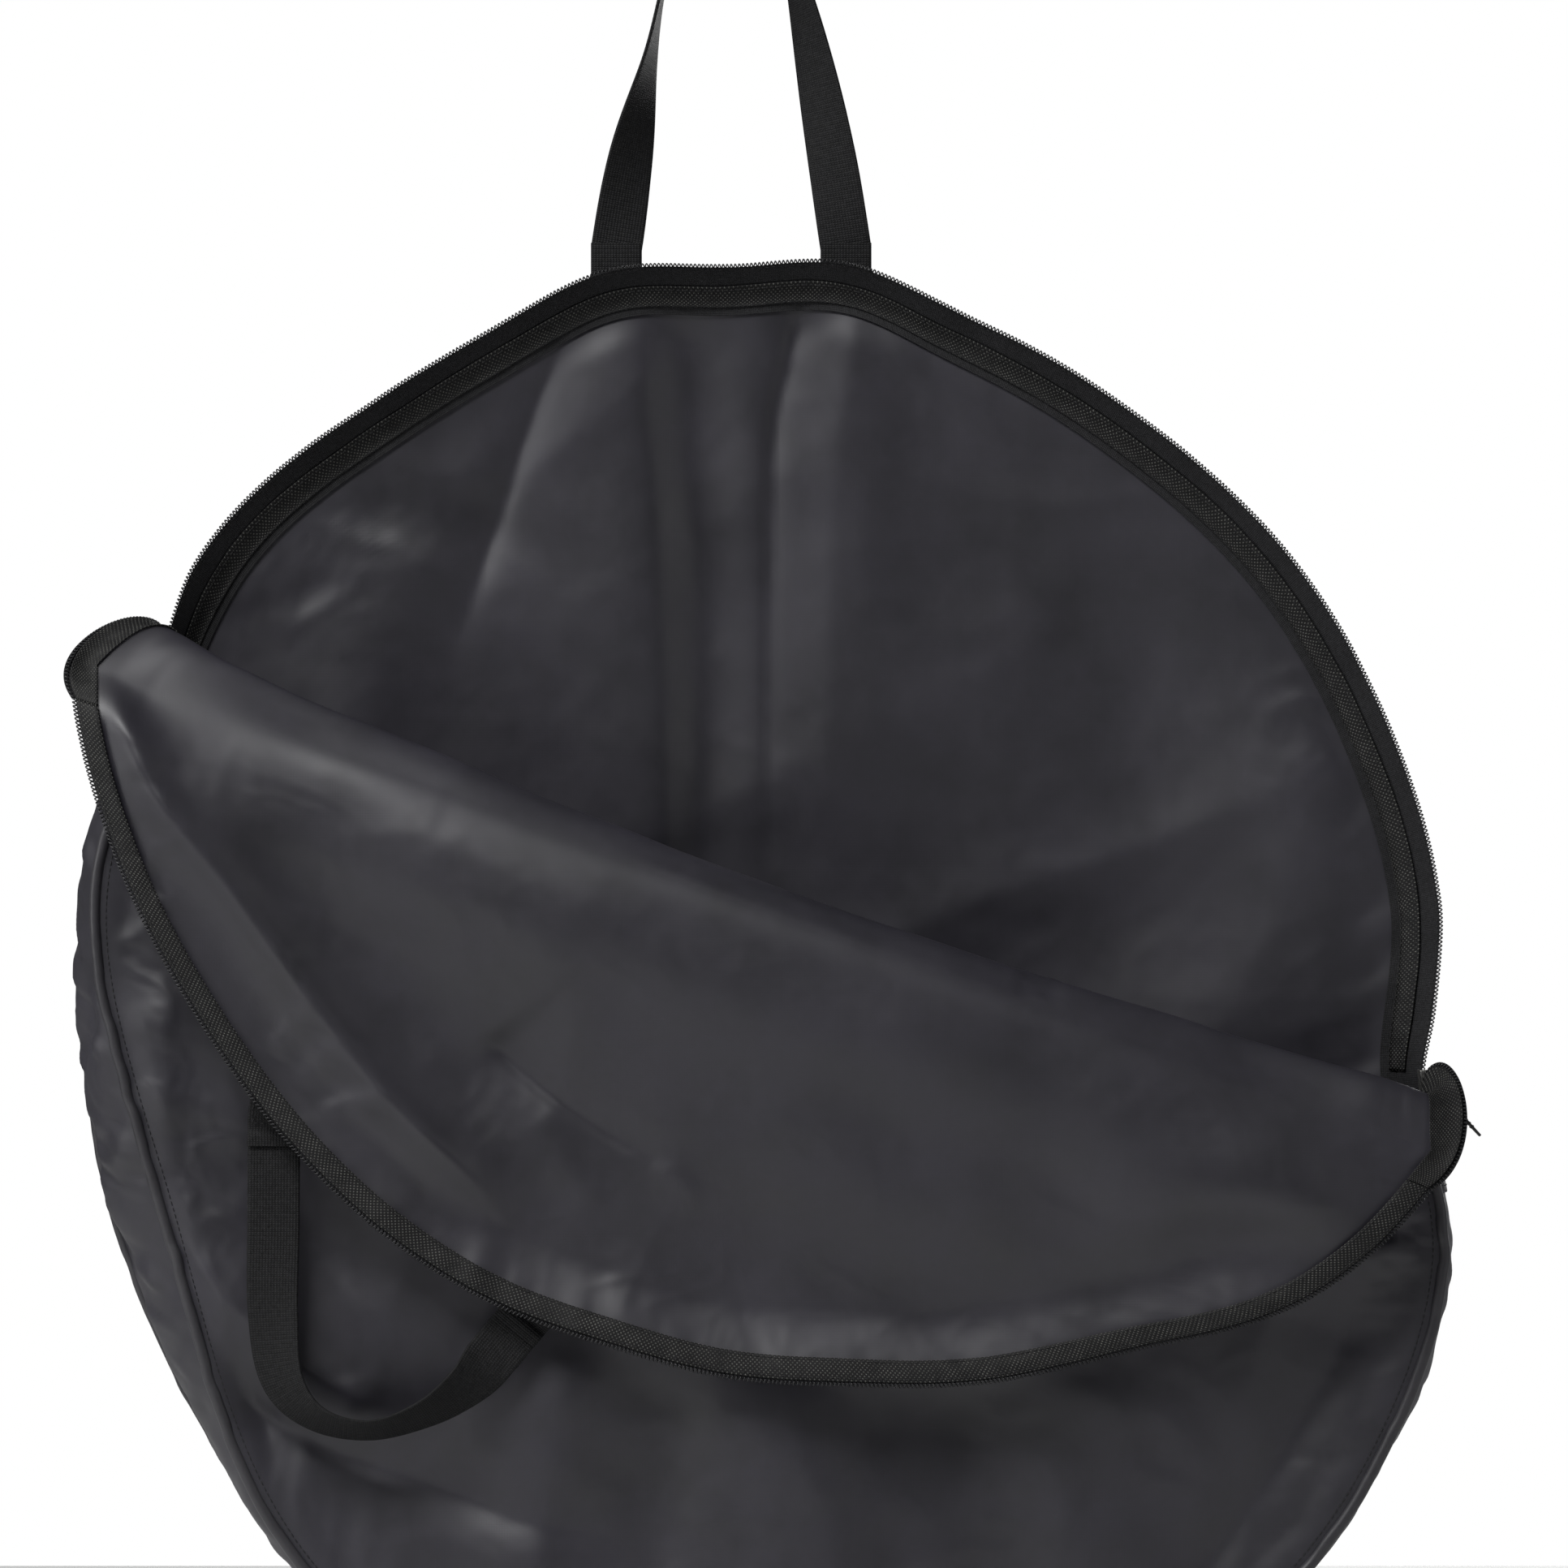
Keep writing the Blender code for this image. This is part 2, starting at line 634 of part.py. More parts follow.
def make_zip_turn(name, start, end):
    """The twisting stretch of tape from the closed stub to the flap's half of the zip."""
    across_start = Vector((0.0, -STUB_TAPE_WIDTH / 2.0, 0.0))
    start_point = at_angle(stub_radius(start), start, -GAP)
    end_edge = flap_radius(end) - 2.0 * COIL_RADIUS - GAP
    end_outer = at_flap(end_edge, end, -TAPE_OFFSET)
    end_inner = at_flap(flap_radius(end) - ZIP_REACH, end, -TAPE_OFFSET)
    across_end = end_inner - end_outer
    outward = Vector((end_outer.x, 0.0, end_outer.z)).normalized()
    rows = []
    for step in range(ROUND_STEPS + 1):
        share = step / ROUND_STEPS
        ease = share * share * (3.0 - 2.0 * share)
        edge = start_point.lerp(end_outer, ease)
        edge += outward * (TURN_BULGE * math.sin(HALF_TURN * share))
        across = across_start.lerp(across_end, ease)
        rows.append([edge, edge + across])
    cloth(name, rows, TAPE_THICKNESS, ZIP_TAPE)


def arc_direction(angle, towards):
    """The closed stub's own direction at an angle, towards its mouth."""
    step = towards * MESH_STEP / 2.0
    ahead = at_angle(stub_radius(angle + step), angle + step, 0.0)
    behind = at_angle(stub_radius(angle - step), angle - step, 0.0)
    return (ahead - behind).normalized()


def slider_frame(angle, towards):
    """Where a slider stands: its middle, its direction of travel and its outward direction."""
    middle = at_angle(stub_radius(angle), angle, 0.0)
    travel = arc_direction(angle, towards)
    outward = Vector((travel.z, 0.0, -travel.x)) * towards
    return middle, travel, outward


def place_plate(mesh, origin, across, up):
    """Turns a flat plate's own plane to two directions and moves it to its place."""
    turn = Matrix((across, up, across.cross(up))).transposed().to_4x4()
    mesh.transform(Matrix.Translation(origin) @ turn)


def slider_outline():
    """The slider's two plates and the web that joins them, seen from the side."""
    half = SLIDER_LENGTH / 2.0
    slot = SLIDER_SLOT / 2.0
    top = slot + SLIDER_PLATE
    web = half - SLIDER_WEB
    return (
        (-half, -top), (half, -top), (half, top), (-half, top),
        (-half, slot), (web, slot), (web, -slot), (-half, -slot),
    )


def bail_outline():
    """The arch on the slider that holds its pull, seen from the side."""
    half = BAIL_LENGTH / 2.0
    base = SLIDER_SLOT / 2.0 + SLIDER_PLATE / 2.0
    top = SLIDER_SLOT / 2.0 + SLIDER_PLATE + BAIL_RISE
    inner = half - BAIL_WALL
    return (
        (-half, base), (-inner, base), (-inner, top - BAIL_WALL), (inner, top - BAIL_WALL),
        (inner, base), (half, base), (half, top - BAIL_WALL), (inner, top),
        (-inner, top), (-half, top - BAIL_WALL),
    )


def pull_outlines():
    """The pull tab with its eye, from its bar to its rounded free end."""
    half = PULL_WIDTH / 2.0
    bar = PULL_BAR / 2.0
    end = PULL_LENGTH - half
    outer = [(-bar, half), (-bar, -half), (end, -half)]
    for step in range(1, ROUND_STEPS):
        turn = HALF_TURN * step / ROUND_STEPS - HALF_TURN / 2.0
        outer.append((end + half * math.cos(turn), half * math.sin(turn)))
    outer.append((end, half))
    eye = PULL_EYE_WIDTH / 2.0
    far = bar + PULL_EYE_LENGTH
    return outer, [(bar, -eye), (far, -eye), (far, eye), (bar, eye)]


def axis_empty(name, parent, place):
    """An empty on a joint's axis, which carries the pieces that the joint moves."""
    made = bpy.data.objects.new(name, None)
    BAG.objects.link(made)
    made.parent = parent
    made.location = place
    return made


def carry(axis, made):
    """Hangs a piece of the bag on an axis empty, with its place kept."""
    made.location -= axis.location
    made.parent = axis


def make_slider(side, angle, towards, pivot, lean):
    """One zip slider with its bail, and the pull tab that hangs in the bail."""
    middle, travel, outward = slider_frame(angle, towards)
    body = add_object(
        f"slider_{side}",
        outline_mesh(f"slider_{side}", [slider_outline()], SLIDER_WIDTH),
        SLIDER_METAL,
        smooth=False,
    )
    place_plate(body.data, middle, travel, outward)
    bail_mesh = outline_mesh(f"bail_{side}", [bail_outline()], BAIL_WIDTH)
    place_plate(bail_mesh, middle, travel, outward)
    bail = bpy.data.objects.new(f"bail_{side}", bail_mesh)
    CUTTERS.objects.link(bail)
    bail.parent = BODY
    bail.hide_render = True
    bail.display_type = "WIRE"
    union = body.modifiers.new("Bail", "BOOLEAN")
    union.operation = "UNION"
    union.object = bail
    bar_space = math.hypot(PULL_BAR, PULL_THICKNESS) / 2.0 + GAP
    back = BAIL_LENGTH / 2.0 - BAIL_WALL - bar_space
    lift = SLIDER_SLOT / 2.0 + SLIDER_PLATE + (BAIL_RISE - BAIL_WALL) / 2.0
    pin = middle - travel * back + outward * lift
    pull = add_object(
        f"pull_{side}",
        outline_mesh(f"pull_{side}", pull_outlines(), PULL_THICKNESS),
        PULL_PLASTIC,
        smooth=False,
    )
    hang = outward * math.sin(lean) - travel * math.cos(lean)
    place_plate(pull.data, pin, hang, Vector((0.0, 1.0, 0.0)))
    set_on_axis(pull, pin)
    for made in (body, bail, pull):
        carry(pivot, made)
    return pin


def ribbon(name, points, acrosses):
    """A flat stretch of webbing along points, with its width along one vector for each."""
    rows = []
    for point, across in zip(points, acrosses):
        half = across.normalized() * (WEBBING_WIDTH / 2.0)
        rows.append([point - half, point + half])
    return cloth(name, rows, WEBBING_THICKNESS, WEBBING)


def loop_ribbon(name, place, path, twists):
    """A loop of webbing through a path of shares, turned about its length by twist shares."""
    points = [Vector(point) for point in path]
    count = LOOP_STEPS + 1
    middles = []
    for index in range(count):
        share = LOOP_TRIM_SHARE + (1.0 - 2.0 * LOOP_TRIM_SHARE) * index / LOOP_STEPS
        middles.append(place(line_share(points, share), share))
    acrosses = []
    for index in range(count):
        ahead = middles[min(index + 1, count - 1)]
        behind = middles[max(index - 1, 0)]
        run = ahead - behind
        flat = Vector((run.z, 0.0, -run.x)).normalized()
        twist = line_share(twists, index / LOOP_STEPS) * HALF_TURN / 2.0
        depth = Vector((0.0, math.sin(twist), 0.0))
        acrosses.append(flat * math.cos(twist) + depth)
    return ribbon(name, middles, acrosses)


def back_hinge():
    """Rise and depth of the line where the back handle's loop bends at its sewn ends."""
    rises = [
        (seam_radius(angle) + ZIP_REACH) * math.sin(angle) for angle in STRAP_PEAK_ANGLES
    ]
    depth = RIM_DEPTH + STRAP_OFFSET + HALF_WEBBING + GAP / 2.0
    return max(rises) + STRAP_LIFT, depth


def make_back_handle():
    """The back handle: two sewn ends on the back panel, and the loop above them."""
    hinge_rise, hinge_depth = back_hinge()
    middle = -BODY_CENTRE_SIDE
    across = Vector((1.0, 0.0, 0.0))
    for side, sign in (("left", -1.0), ("right", 1.0)):
        place = middle + sign * HANDLE_HALF_WIDTH
        foot = seam_radius(math.atan2(hinge_rise, place)) - STRAP_SEWN_LENGTH
        rises = spaced(hinge_rise + STRAP_LAP, foot, WEBBING_WIDTH / 2.0)
        points = [
            Vector((place, back_depth(place, rise) + STRAP_OFFSET, rise)) for rise in rises
        ]
        ribbon(f"handle_back_end_{side}", points, [across] * len(points))
    start = hinge_rise + LOOP_START
    leg_depth = RIM_DEPTH + STRAP_OFFSET + WEBBING_THICKNESS + GAP

    def place_on_loop(share, _):
        depth = leg_depth + (-BODY_CENTRE_DEPTH - leg_depth) * share.y * share.y
        rise = start + (BODY_CENTRE_DROP - start) * share.y
        return Vector((middle + HANDLE_HALF_WIDTH * share.x, depth, rise))

    loop = loop_ribbon(
        "handle_back_loop", place_on_loop, BACK_LOOP_PATH_SHARES, BACK_LOOP_TWIST_SHARES
    )
    loop.parent = None
    loop.data.transform(Matrix.Translation(BODY_CENTRE))
    return Vector((middle, hinge_depth, hinge_rise))


def front_loop_end(angle):
    """Where one leg of the front handle comes out past the flap's edge."""
    return at_flap(flap_radius(angle) + FRONT_LOOP_PLAY, angle, STRAP_OFFSET)


def make_front_handle():
    """The front handle: two ends sewn behind the flap, and the loop that hangs from them."""
    strap = Vector((math.cos(FRONT_STRAP_TURN), 0.0, math.sin(FRONT_STRAP_TURN)))
    level = Vector((1.0, 0.0, 0.0))
    square = Vector((strap.z, 0.0, -strap.x))
    left = front_loop_end(FRONT_LOOP_LEFT_ANGLE)
    right = front_loop_end(FRONT_LOOP_RIGHT_ANGLE)
    for side, hinge, end_across in (("left", left, level), ("right", right, square)):
        points = []
        acrosses = []
        for distance in spaced(GAP, STRAP_SEWN_LENGTH, WEBBING_WIDTH / 2.0):
            spot = hinge + strap * distance
            spot.y = flap_depth(spot.x, spot.z) + STRAP_OFFSET
            points.append(spot)
            turn = min(1.0, distance / WEBBING_WIDTH)
            acrosses.append(end_across.lerp(square, turn))
        ribbon(f"handle_front_end_{side}", points, acrosses)
    path = FRONT_LOOP_PATH_SHARES + ((1.0, (left.z - right.z) / FRONT_LOOP_DROP),)

    def place_on_loop(share, along):
        ends_depth = left.y + (right.y - left.y) * along
        swell = FRONT_LOOP_DEPTH - (left.y + right.y) / 2.0
        depth = ends_depth + swell * math.sin(HALF_TURN * along)
        side = left.x + (right.x - left.x) * share.x
        return Vector((side, depth, left.z - FRONT_LOOP_DROP * share.y))

    loop = loop_ribbon("handle_front_loop", place_on_loop, path, FRONT_LOOP_TWIST_SHARES)
    set_on_axis(loop, left)


def make_zip_ends():
    """The closed stubs, turning stretches, hems, sliders and pulls at both ends of the zip."""
    reach = SLIDER_LENGTH / 2.0 + GAP
    flap_end = FLAP_END_TURN - GAP / FLAP_REACH
    ends = (
        ("right", SLIDER_RIGHT_ANGLE, 1.0, ZIP_RIGHT_ANGLE, FOLD_LEFT_ANGLE + HALF_TURN,
         (RIGHT_ARC_CENTRE_SIDE, 0.0, RIGHT_ARC_CENTRE_RISE), PULL_RIGHT_LEAN),
        ("left", SLIDER_LEFT_ANGLE, -1.0, ZIP_LEFT_ANGLE, FOLD_LEFT_ANGLE,
         (LEFT_ARC_CENTRE_SIDE, 0.0, LEFT_ARC_CENTRE_RISE), PULL_LEFT_LEAN),
    )
    for side, angle, towards, zip_angle, fold_angle, arc_centre, lean in ends:
        turn = reach / stub_radius(angle)
        gusset_end = zip_angle - towards * ZIP_STUB_TURN
        stub_end = gusset_end + towards * GAP / BODY_RADIUS
        make_zip_stub(f"zip_end_{side}", angle - towards * turn, stub_end)
        make_hem(f"gusset_hem_{side}", gusset_end, -towards)
        turn_end = fold_angle - towards * flap_end
        turn_start = angle + towards * (turn + TURN_START_PLAY / BODY_RADIUS)
        make_zip_turn(f"zip_turn_{side}", turn_start, turn_end)
        pivot = axis_empty(f"slider_arc_{side}", BODY, arc_centre)
        make_slider(side, angle, towards, pivot, lean)


for old in list(bpy.data.objects):
    bpy.data.objects.remove(old)

BAG = new_collection("bike_wheel_bag")
CUTTERS = new_collection("cutters")
BODY = bpy.data.objects.new("body_centre", None)
BAG.objects.link(BODY)

HINGE = make_back_handle()
SWING = axis_empty("bag_swing_axis", None, BODY_CENTRE + HINGE)
BODY.parent = SWING
BODY.location = -HINGE

make_back_panel()
make_front_panel()
make_fold_roll()
make_gusset()
make_piping()
make_back_zip()
make_zip_ends()
before = set(BAG.objects)
make_flap()
FOLD_AXIS = axis_empty("flap_fold_axis", BODY, FLAP_AXIS)
make_front_handle()
for piece in set(BAG.objects) - before - {FOLD_AXIS}:
    carry(FOLD_AXIS, piece)
bpy.context.view_layer.update()
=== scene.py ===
"""The looks of a round bike wheel bag that hangs open from its back handle.

The bag's own frame has its origin at the body's centre, with X to the right as seen from the
front, -Y out of the front face and Z up. Sizes are in metres and angles in radians. A lift is
how far a piece of cloth stands towards the front from its plain surface.
"""

import logging
import math
from dataclasses import dataclass
from enum import Enum
from typing import Callable, Sequence

import bpy
import numpy as np
from mathutils import Matrix, Vector


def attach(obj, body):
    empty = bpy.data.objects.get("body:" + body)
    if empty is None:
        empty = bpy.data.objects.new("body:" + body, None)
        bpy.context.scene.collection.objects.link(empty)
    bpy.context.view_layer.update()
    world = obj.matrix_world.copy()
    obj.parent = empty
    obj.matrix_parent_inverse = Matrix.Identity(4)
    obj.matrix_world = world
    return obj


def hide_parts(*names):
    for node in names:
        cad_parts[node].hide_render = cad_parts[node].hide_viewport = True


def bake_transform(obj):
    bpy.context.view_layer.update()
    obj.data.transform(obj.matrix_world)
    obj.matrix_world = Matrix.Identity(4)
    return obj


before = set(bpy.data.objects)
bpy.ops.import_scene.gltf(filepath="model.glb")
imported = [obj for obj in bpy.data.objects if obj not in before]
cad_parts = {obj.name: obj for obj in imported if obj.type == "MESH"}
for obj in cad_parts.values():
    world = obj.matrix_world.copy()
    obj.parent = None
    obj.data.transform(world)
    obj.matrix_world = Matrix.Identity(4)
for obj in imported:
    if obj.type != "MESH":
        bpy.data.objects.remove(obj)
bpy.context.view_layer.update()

LOG = logging.getLogger("wheel_bag")
HALF_TURN = math.pi
FULL_TURN = 2.0 * math.pi
MM = 0.001
CLOTH_THICKNESS = 0.6 * MM
HASH_STEPS = (127.1, 311.7, 74.7)
HASH_SCALE = 43758.5453
Piece = bpy.types.Object
Look = bpy.types.Material
Tree = bpy.types.NodeTree
Node = bpy.types.Node
Socket = bpy.types.NodeSocket
Points = np.ndarray
Triple = tuple[float, float, float]
Surface = Callable[[Points, Points], tuple[Points, Points]]
Depth = Callable[[Points, Points], Points]
Relief = Callable[[Points, Points], Points]


class End(Enum):
    """The two ends of the zip, by the side where they lie as seen from the front."""

    LEFT = "left"
    RIGHT = "right"

    @property
    def towards(self) -> float:
        """Which way round the body the zip opens from this end."""
        return -1.0 if self is End.LEFT else 1.0


class Profile(Enum):
    """How a fold of cloth rises across its line."""

    ROUND = "round"
    SHARP = "sharp"


class Slot(Enum):
    """The record's material slots."""

    OUTER = "outer_fabric"
    INNER = "inner_fabric"
    WEBBING = "webbing"
    PIPING = "piping"
    TAPE = "zip_tape"
    COIL = "zip_coil"
    BINDING = "binding"
    METAL = "slider_metal"
    PULL = "pull"


# --- Reading curves and noise ---


def cubic(before: Points, low: Points, high: Points, after: Points, share: Points) -> Points:
    """Blends four evenly spaced values smoothly.

    Args:
        before: The value before low.
        low: The value at share 0.
        high: The value at share 1.
        after: The value after high.
        share: How far the place lies from low to high.

    Returns:
        The value at that share.
    """
    square = share * share
    cube = square * share
    return (
        low * (2.0 * cube - 3.0 * square + 1.0)
        + (high - before) / 2.0 * (cube - 2.0 * square + share)
        + high * (3.0 * square - 2.0 * cube)
        + (after - low) / 2.0 * (cube - square)
    )


def round_share(shares: Sequence[float], angle: Points) -> Points:
    """Reads shares that are evenly spaced round a full turn.

    Args:
        shares: The values, the first at angle 0.
        angle: Where to read them.

    Returns:
        The smooth value at each angle.
    """
    table = np.asarray(shares, float)
    count = len(table)
    place = np.mod(angle, FULL_TURN) / FULL_TURN * count
    index = np.floor(place).astype(int)
    around = [table[(index + step) % count] for step in (-1, 0, 1, 2)]
    return cubic(*around, place - index)


def line_share(values: Sequence, share: Points) -> Points:
    """Reads a row of evenly spaced numbers or points.

    Args:
        values: The numbers or points, the first at share 0 and the last at share 1.
        share: Where to read them.

    Returns:
        The smooth value at each share.
    """
    table = np.asarray(values, float)
    place = np.clip(np.asarray(share, float), 0.0, 1.0) * (len(table) - 1)
    index = np.minimum(place.astype(int), len(table) - 2)
    wide = np.concatenate([2.0 * table[:1] - table[1:2], table, 2.0 * table[-1:] - table[-2:-1]])
    part = place - index
    if table.ndim > 1:
        part = part[..., None]
    return cubic(wide[index], wide[index + 1], wide[index + 2], wide[index + 3], part)


def smooth(low: float, high: float, value: Points) -> Points:
    """Eases from 0 where a value is at low to 1 where it is at high."""
    share = np.clip((np.asarray(value, float) - low) / (high - low), 0.0, 1.0)
    return share * share * (3.0 - 2.0 * share)


def hump(angle: Points, middle: float, spread: float) -> Points:
    """A smooth hump of height 1 round an angle."""
    away = np.mod(angle - middle + HALF_TURN, FULL_TURN) - HALF_TURN
    return np.exp(-0.5 * (away / spread) ** 2)


def unit(vectors: Points) -> Points:
    """Vectors at length 1."""
    return vectors / np.maximum(np.linalg.norm(vectors, axis=-1, keepdims=True), 1e-12)


def rounded(across: Points, up: Points) -> tuple[Points, Points]:
    """Turns places on a square from -1 to 1 into places on a disc of radius 1."""
    return across * np.sqrt(1.0 - up**2 / 2.0), up * np.sqrt(1.0 - across**2 / 2.0)


def between(place: Points, places: Points, table: Points) -> Points:
    """Reads a row of points at places between its own."""
    return np.stack([np.interp(place, places, table[:, axis]) for axis in range(3)], -1)


def bezier(start: Points, leave: Points, arrive: Points, end: Points, share: Points) -> Points:
    """Reads a smooth curve from one point to another.

    Args:
        start: The first point.
        leave: Where the curve heads from there.
        arrive: Where it comes from at the last point.
        end: The last point.
        share: Places along the curve.

    Returns:
        The curve's points.
    """
    part = share[:, None]
    rest = 1.0 - part
    return (
        start * rest**3
        + leave * 3.0 * rest**2 * part
        + arrive * 3.0 * rest * part**2
        + end * part**3
    )


def hashed(column: Points, row: Points, seed: int) -> Points:
    """A fixed number from -1 to 1 for each cell of a lattice."""
    mixed = column * HASH_STEPS[0] + row * HASH_STEPS[1] + seed * HASH_STEPS[2]
    mixed = np.sin(mixed) * HASH_SCALE
    return 2.0 * (mixed - np.floor(mixed)) - 1.0


def value_noise(across: Points, up: Points, seed: int) -> Points:
    """Smooth noise from -1 to 1 on a lattice of unit cells.

    Args:
        across: Places along the first direction, in cells.
        up: Places along the second direction, in cells.
        seed: Which noise to read.

    Returns:
        The noise at each place.
    """
    column, row = np.floor(across), np.floor(up)
    part, side = across - column, up - row
    part = part**3 * (part * (part * 6.0 - 15.0) + 10.0)
    side = side**3 * (side * (side * 6.0 - 15.0) + 10.0)
    low = hashed(column, row, seed) * (1 - part) + hashed(column + 1, row, seed) * part
    high = hashed(column, row + 1, seed) * (1 - part) + hashed(column + 1, row + 1, seed) * part
    return low * (1 - side) + high * side


# --- How cloth departs from its plain surface ---


@dataclass(frozen=True)
class Crumple:
    """Small wrinkles that coated cloth keeps from being packed away.

    Each octave is turned against the one before, so that no wrinkle follows the lattice.
    """

    cell: float
    height: float
    seed: int
    octaves: int = 3
    stretch: float = 1.0
    first_turn: float = 0.6
    next_turn: float = 1.1
    fall: float = 1.1
    crest: float = 0.35
    softness: float = 0.01
    bend_step: float = 0.7
    bend_seed: int = 50

    def lift(self, side: Points, rise: Points) -> Points:
        """Reads how far the cloth rises at each place.

        Args:
            side: Places along the cloth.
            rise: Places along the cloth, square to the first.

        Returns:
            The lift of each place.
        """
        first = side / self.cell
        second = rise / (self.cell * self.stretch)
        bend = value_noise(
            first * self.bend_step, second * self.bend_step, self.seed + self.bend_seed)
        total = np.zeros_like(first)
        for octave in range(self.octaves):
            step = 2.0**octave
            turn = self.first_turn + self.next_turn * octave
            cos, sin = math.cos(turn), math.sin(turn)
            across = (first * cos + second * sin) * step + bend
            up = (second * cos - first * sin) * step - bend
            ridge = value_noise(across, up, self.seed + octave)
            total += (self.crest - np.sqrt(ridge * ridge + self.softness)) / step**self.fall
        return self.height * total


@dataclass(frozen=True)
class Patch:
    """A place where the cloth is more crumpled than elsewhere."""

    middle: tuple[float, float]
    reach: tuple[float, float]
    crumple: Crumple

    def lift(self, side: Points, rise: Points) -> Points:
        """The crumple's lift, which fades away from the patch's middle."""
        away = ((side - self.middle[0]) / self.reach[0]) ** 2
        away = away + ((rise - self.middle[1]) / self.reach[1]) ** 2
        return self.crumple.lift(side, rise) * np.exp(-away)


@dataclass(frozen=True)
class Fold:
    """One fold of cloth: a line that rises, or sinks where its height is below nothing.

    The path is in the bag's own X and Z. The widths are how far the fold reaches on the left
    and on the right of the path's direction, seen from the front. A taper is the share by
    which the fold is narrower where it starts.
    """

    path: tuple[tuple[float, float], ...]
    height: float
    left: float
    right: float
    fade_in: float = 0.3
    fade_out: float = 0.3
    profile: Profile = Profile.ROUND
    taper: float = 0.0
    taper_over: float = 0.7
    crest: float = 0.15
    steepness: float = 2.6
    reads_per_point: int = 5

    def lift(self, side: Points, rise: Points) -> Points:
        """Reads the fold's lift at each place.

        Args:
            side: X of the places, in the bag's frame.
            rise: Z of the places, in the bag's frame.

        Returns:
            The lift of each place.
        """
        reads = self.reads_per_point * len(self.path)
        line = line_share(self.path, np.linspace(0.0, 1.0, reads))
        best = np.full(side.shape, np.inf)
        where = np.zeros(side.shape)
        signed = np.zeros(side.shape)
        for step in range(len(line) - 1):
            run = line[step + 1] - line[step]
            off_side, off_rise = side - line[step][0], rise - line[step][1]
            part = np.clip((off_side * run[0] + off_rise * run[1]) / (run @ run), 0.0, 1.0)
            away = np.hypot(off_side - part * run[0], off_rise - part * run[1])
            nearer = away < best
            best = np.where(nearer, away, best)
            where = np.where(nearer, (step + part) / (len(line) - 1), where)
            turn = (run[0] * off_rise - run[1] * off_side) / math.hypot(run[0], run[1])
            signed = np.where(nearer, turn, signed)
        narrow = min(self.left, self.right)
        width = self.right + (self.left - self.right) * smooth(-0.5, 0.5, signed / narrow)
        opened = smooth(0.0, self.taper_over, where)
        reach = best / (width * (1.0 - self.taper * (1.0 - opened)))
        if self.profile is Profile.ROUND:
            rising = np.exp(-(reach**2))
        else:
            slope = np.sqrt(self.steepness * reach**2 + self.crest**2)
            rising = np.exp(self.crest - slope)
        ends = np.ones(side.shape)
        if self.fade_in > 0.0:
            ends = ends * smooth(0.0, self.fade_in, where)
        if self.fade_out > 0.0:
            ends = ends * smooth(0.0, self.fade_out, 1.0 - where)
        return self.height * rising * ends


@dataclass(frozen=True)
class Pucker:
    """Short wrinkles that run in from a sewn edge, where the thread has drawn it up."""

    middle: tuple[float, float]
    radius_at: Callable[[Points], Points]
    height: float
    cell: float
    reach: float
    slant: float
    seed: int
    turn_length: float = 0.36
    cell_length: float = 3.0
    spell: float = 6.0
    spell_inset: float = 4.0
    spell_seed: int = 9

    def lift(self, side: Points, rise: Points) -> Points:
        """Reads the wrinkles' lift at each place.

        Args:
            side: X of the places, in the bag's frame.
            rise: Z of the places, in the bag's frame.

        Returns:
            The lift of each place.
        """
        off_side, off_rise = side - self.middle[0], rise - self.middle[1]
        angle = np.arctan2(off_rise, off_side)
        edge = self.radius_at(np.mod(angle, FULL_TURN))
        inset = np.maximum(edge - np.hypot(off_side, off_rise), 0.0)
        along = angle * self.turn_length + self.slant * inset
        noise = value_noise(along / self.cell, inset / (self.cell_length * self.cell), self.seed)
        spells = value_noise(
            along / (self.spell * self.cell), inset * self.spell_inset,
            self.seed + self.spell_seed)
        strong = 0.5 + 0.5 * spells
        return self.height * noise * strong * np.exp(-((inset / self.reach) ** 2))


@dataclass(frozen=True)
class Drape:
    """The surface of one panel: its plain depth, its body and the lifts on it."""

    depth: Depth
    body: Depth
    held: Depth
    details: tuple[Fold | Crumple | Patch | Pucker, ...]

    def face(self, side: Points, rise: Points) -> Points:
        """Reads the depth of the panel's middle surface.

        Args:
            side: X of the places, in the bag's frame.
            rise: Z of the places, in the bag's frame.

        Returns:
            The depth of each place.
        """
        side, rise = np.broadcast_arrays(np.asarray(side, float), np.asarray(rise, float))
        lift = sum(detail.lift(side, rise) for detail in self.details)
        return self.depth(side, rise) - self.body(side, rise) - lift * self.held(side, rise)


# --- The bag's shape, as the frame has it ---


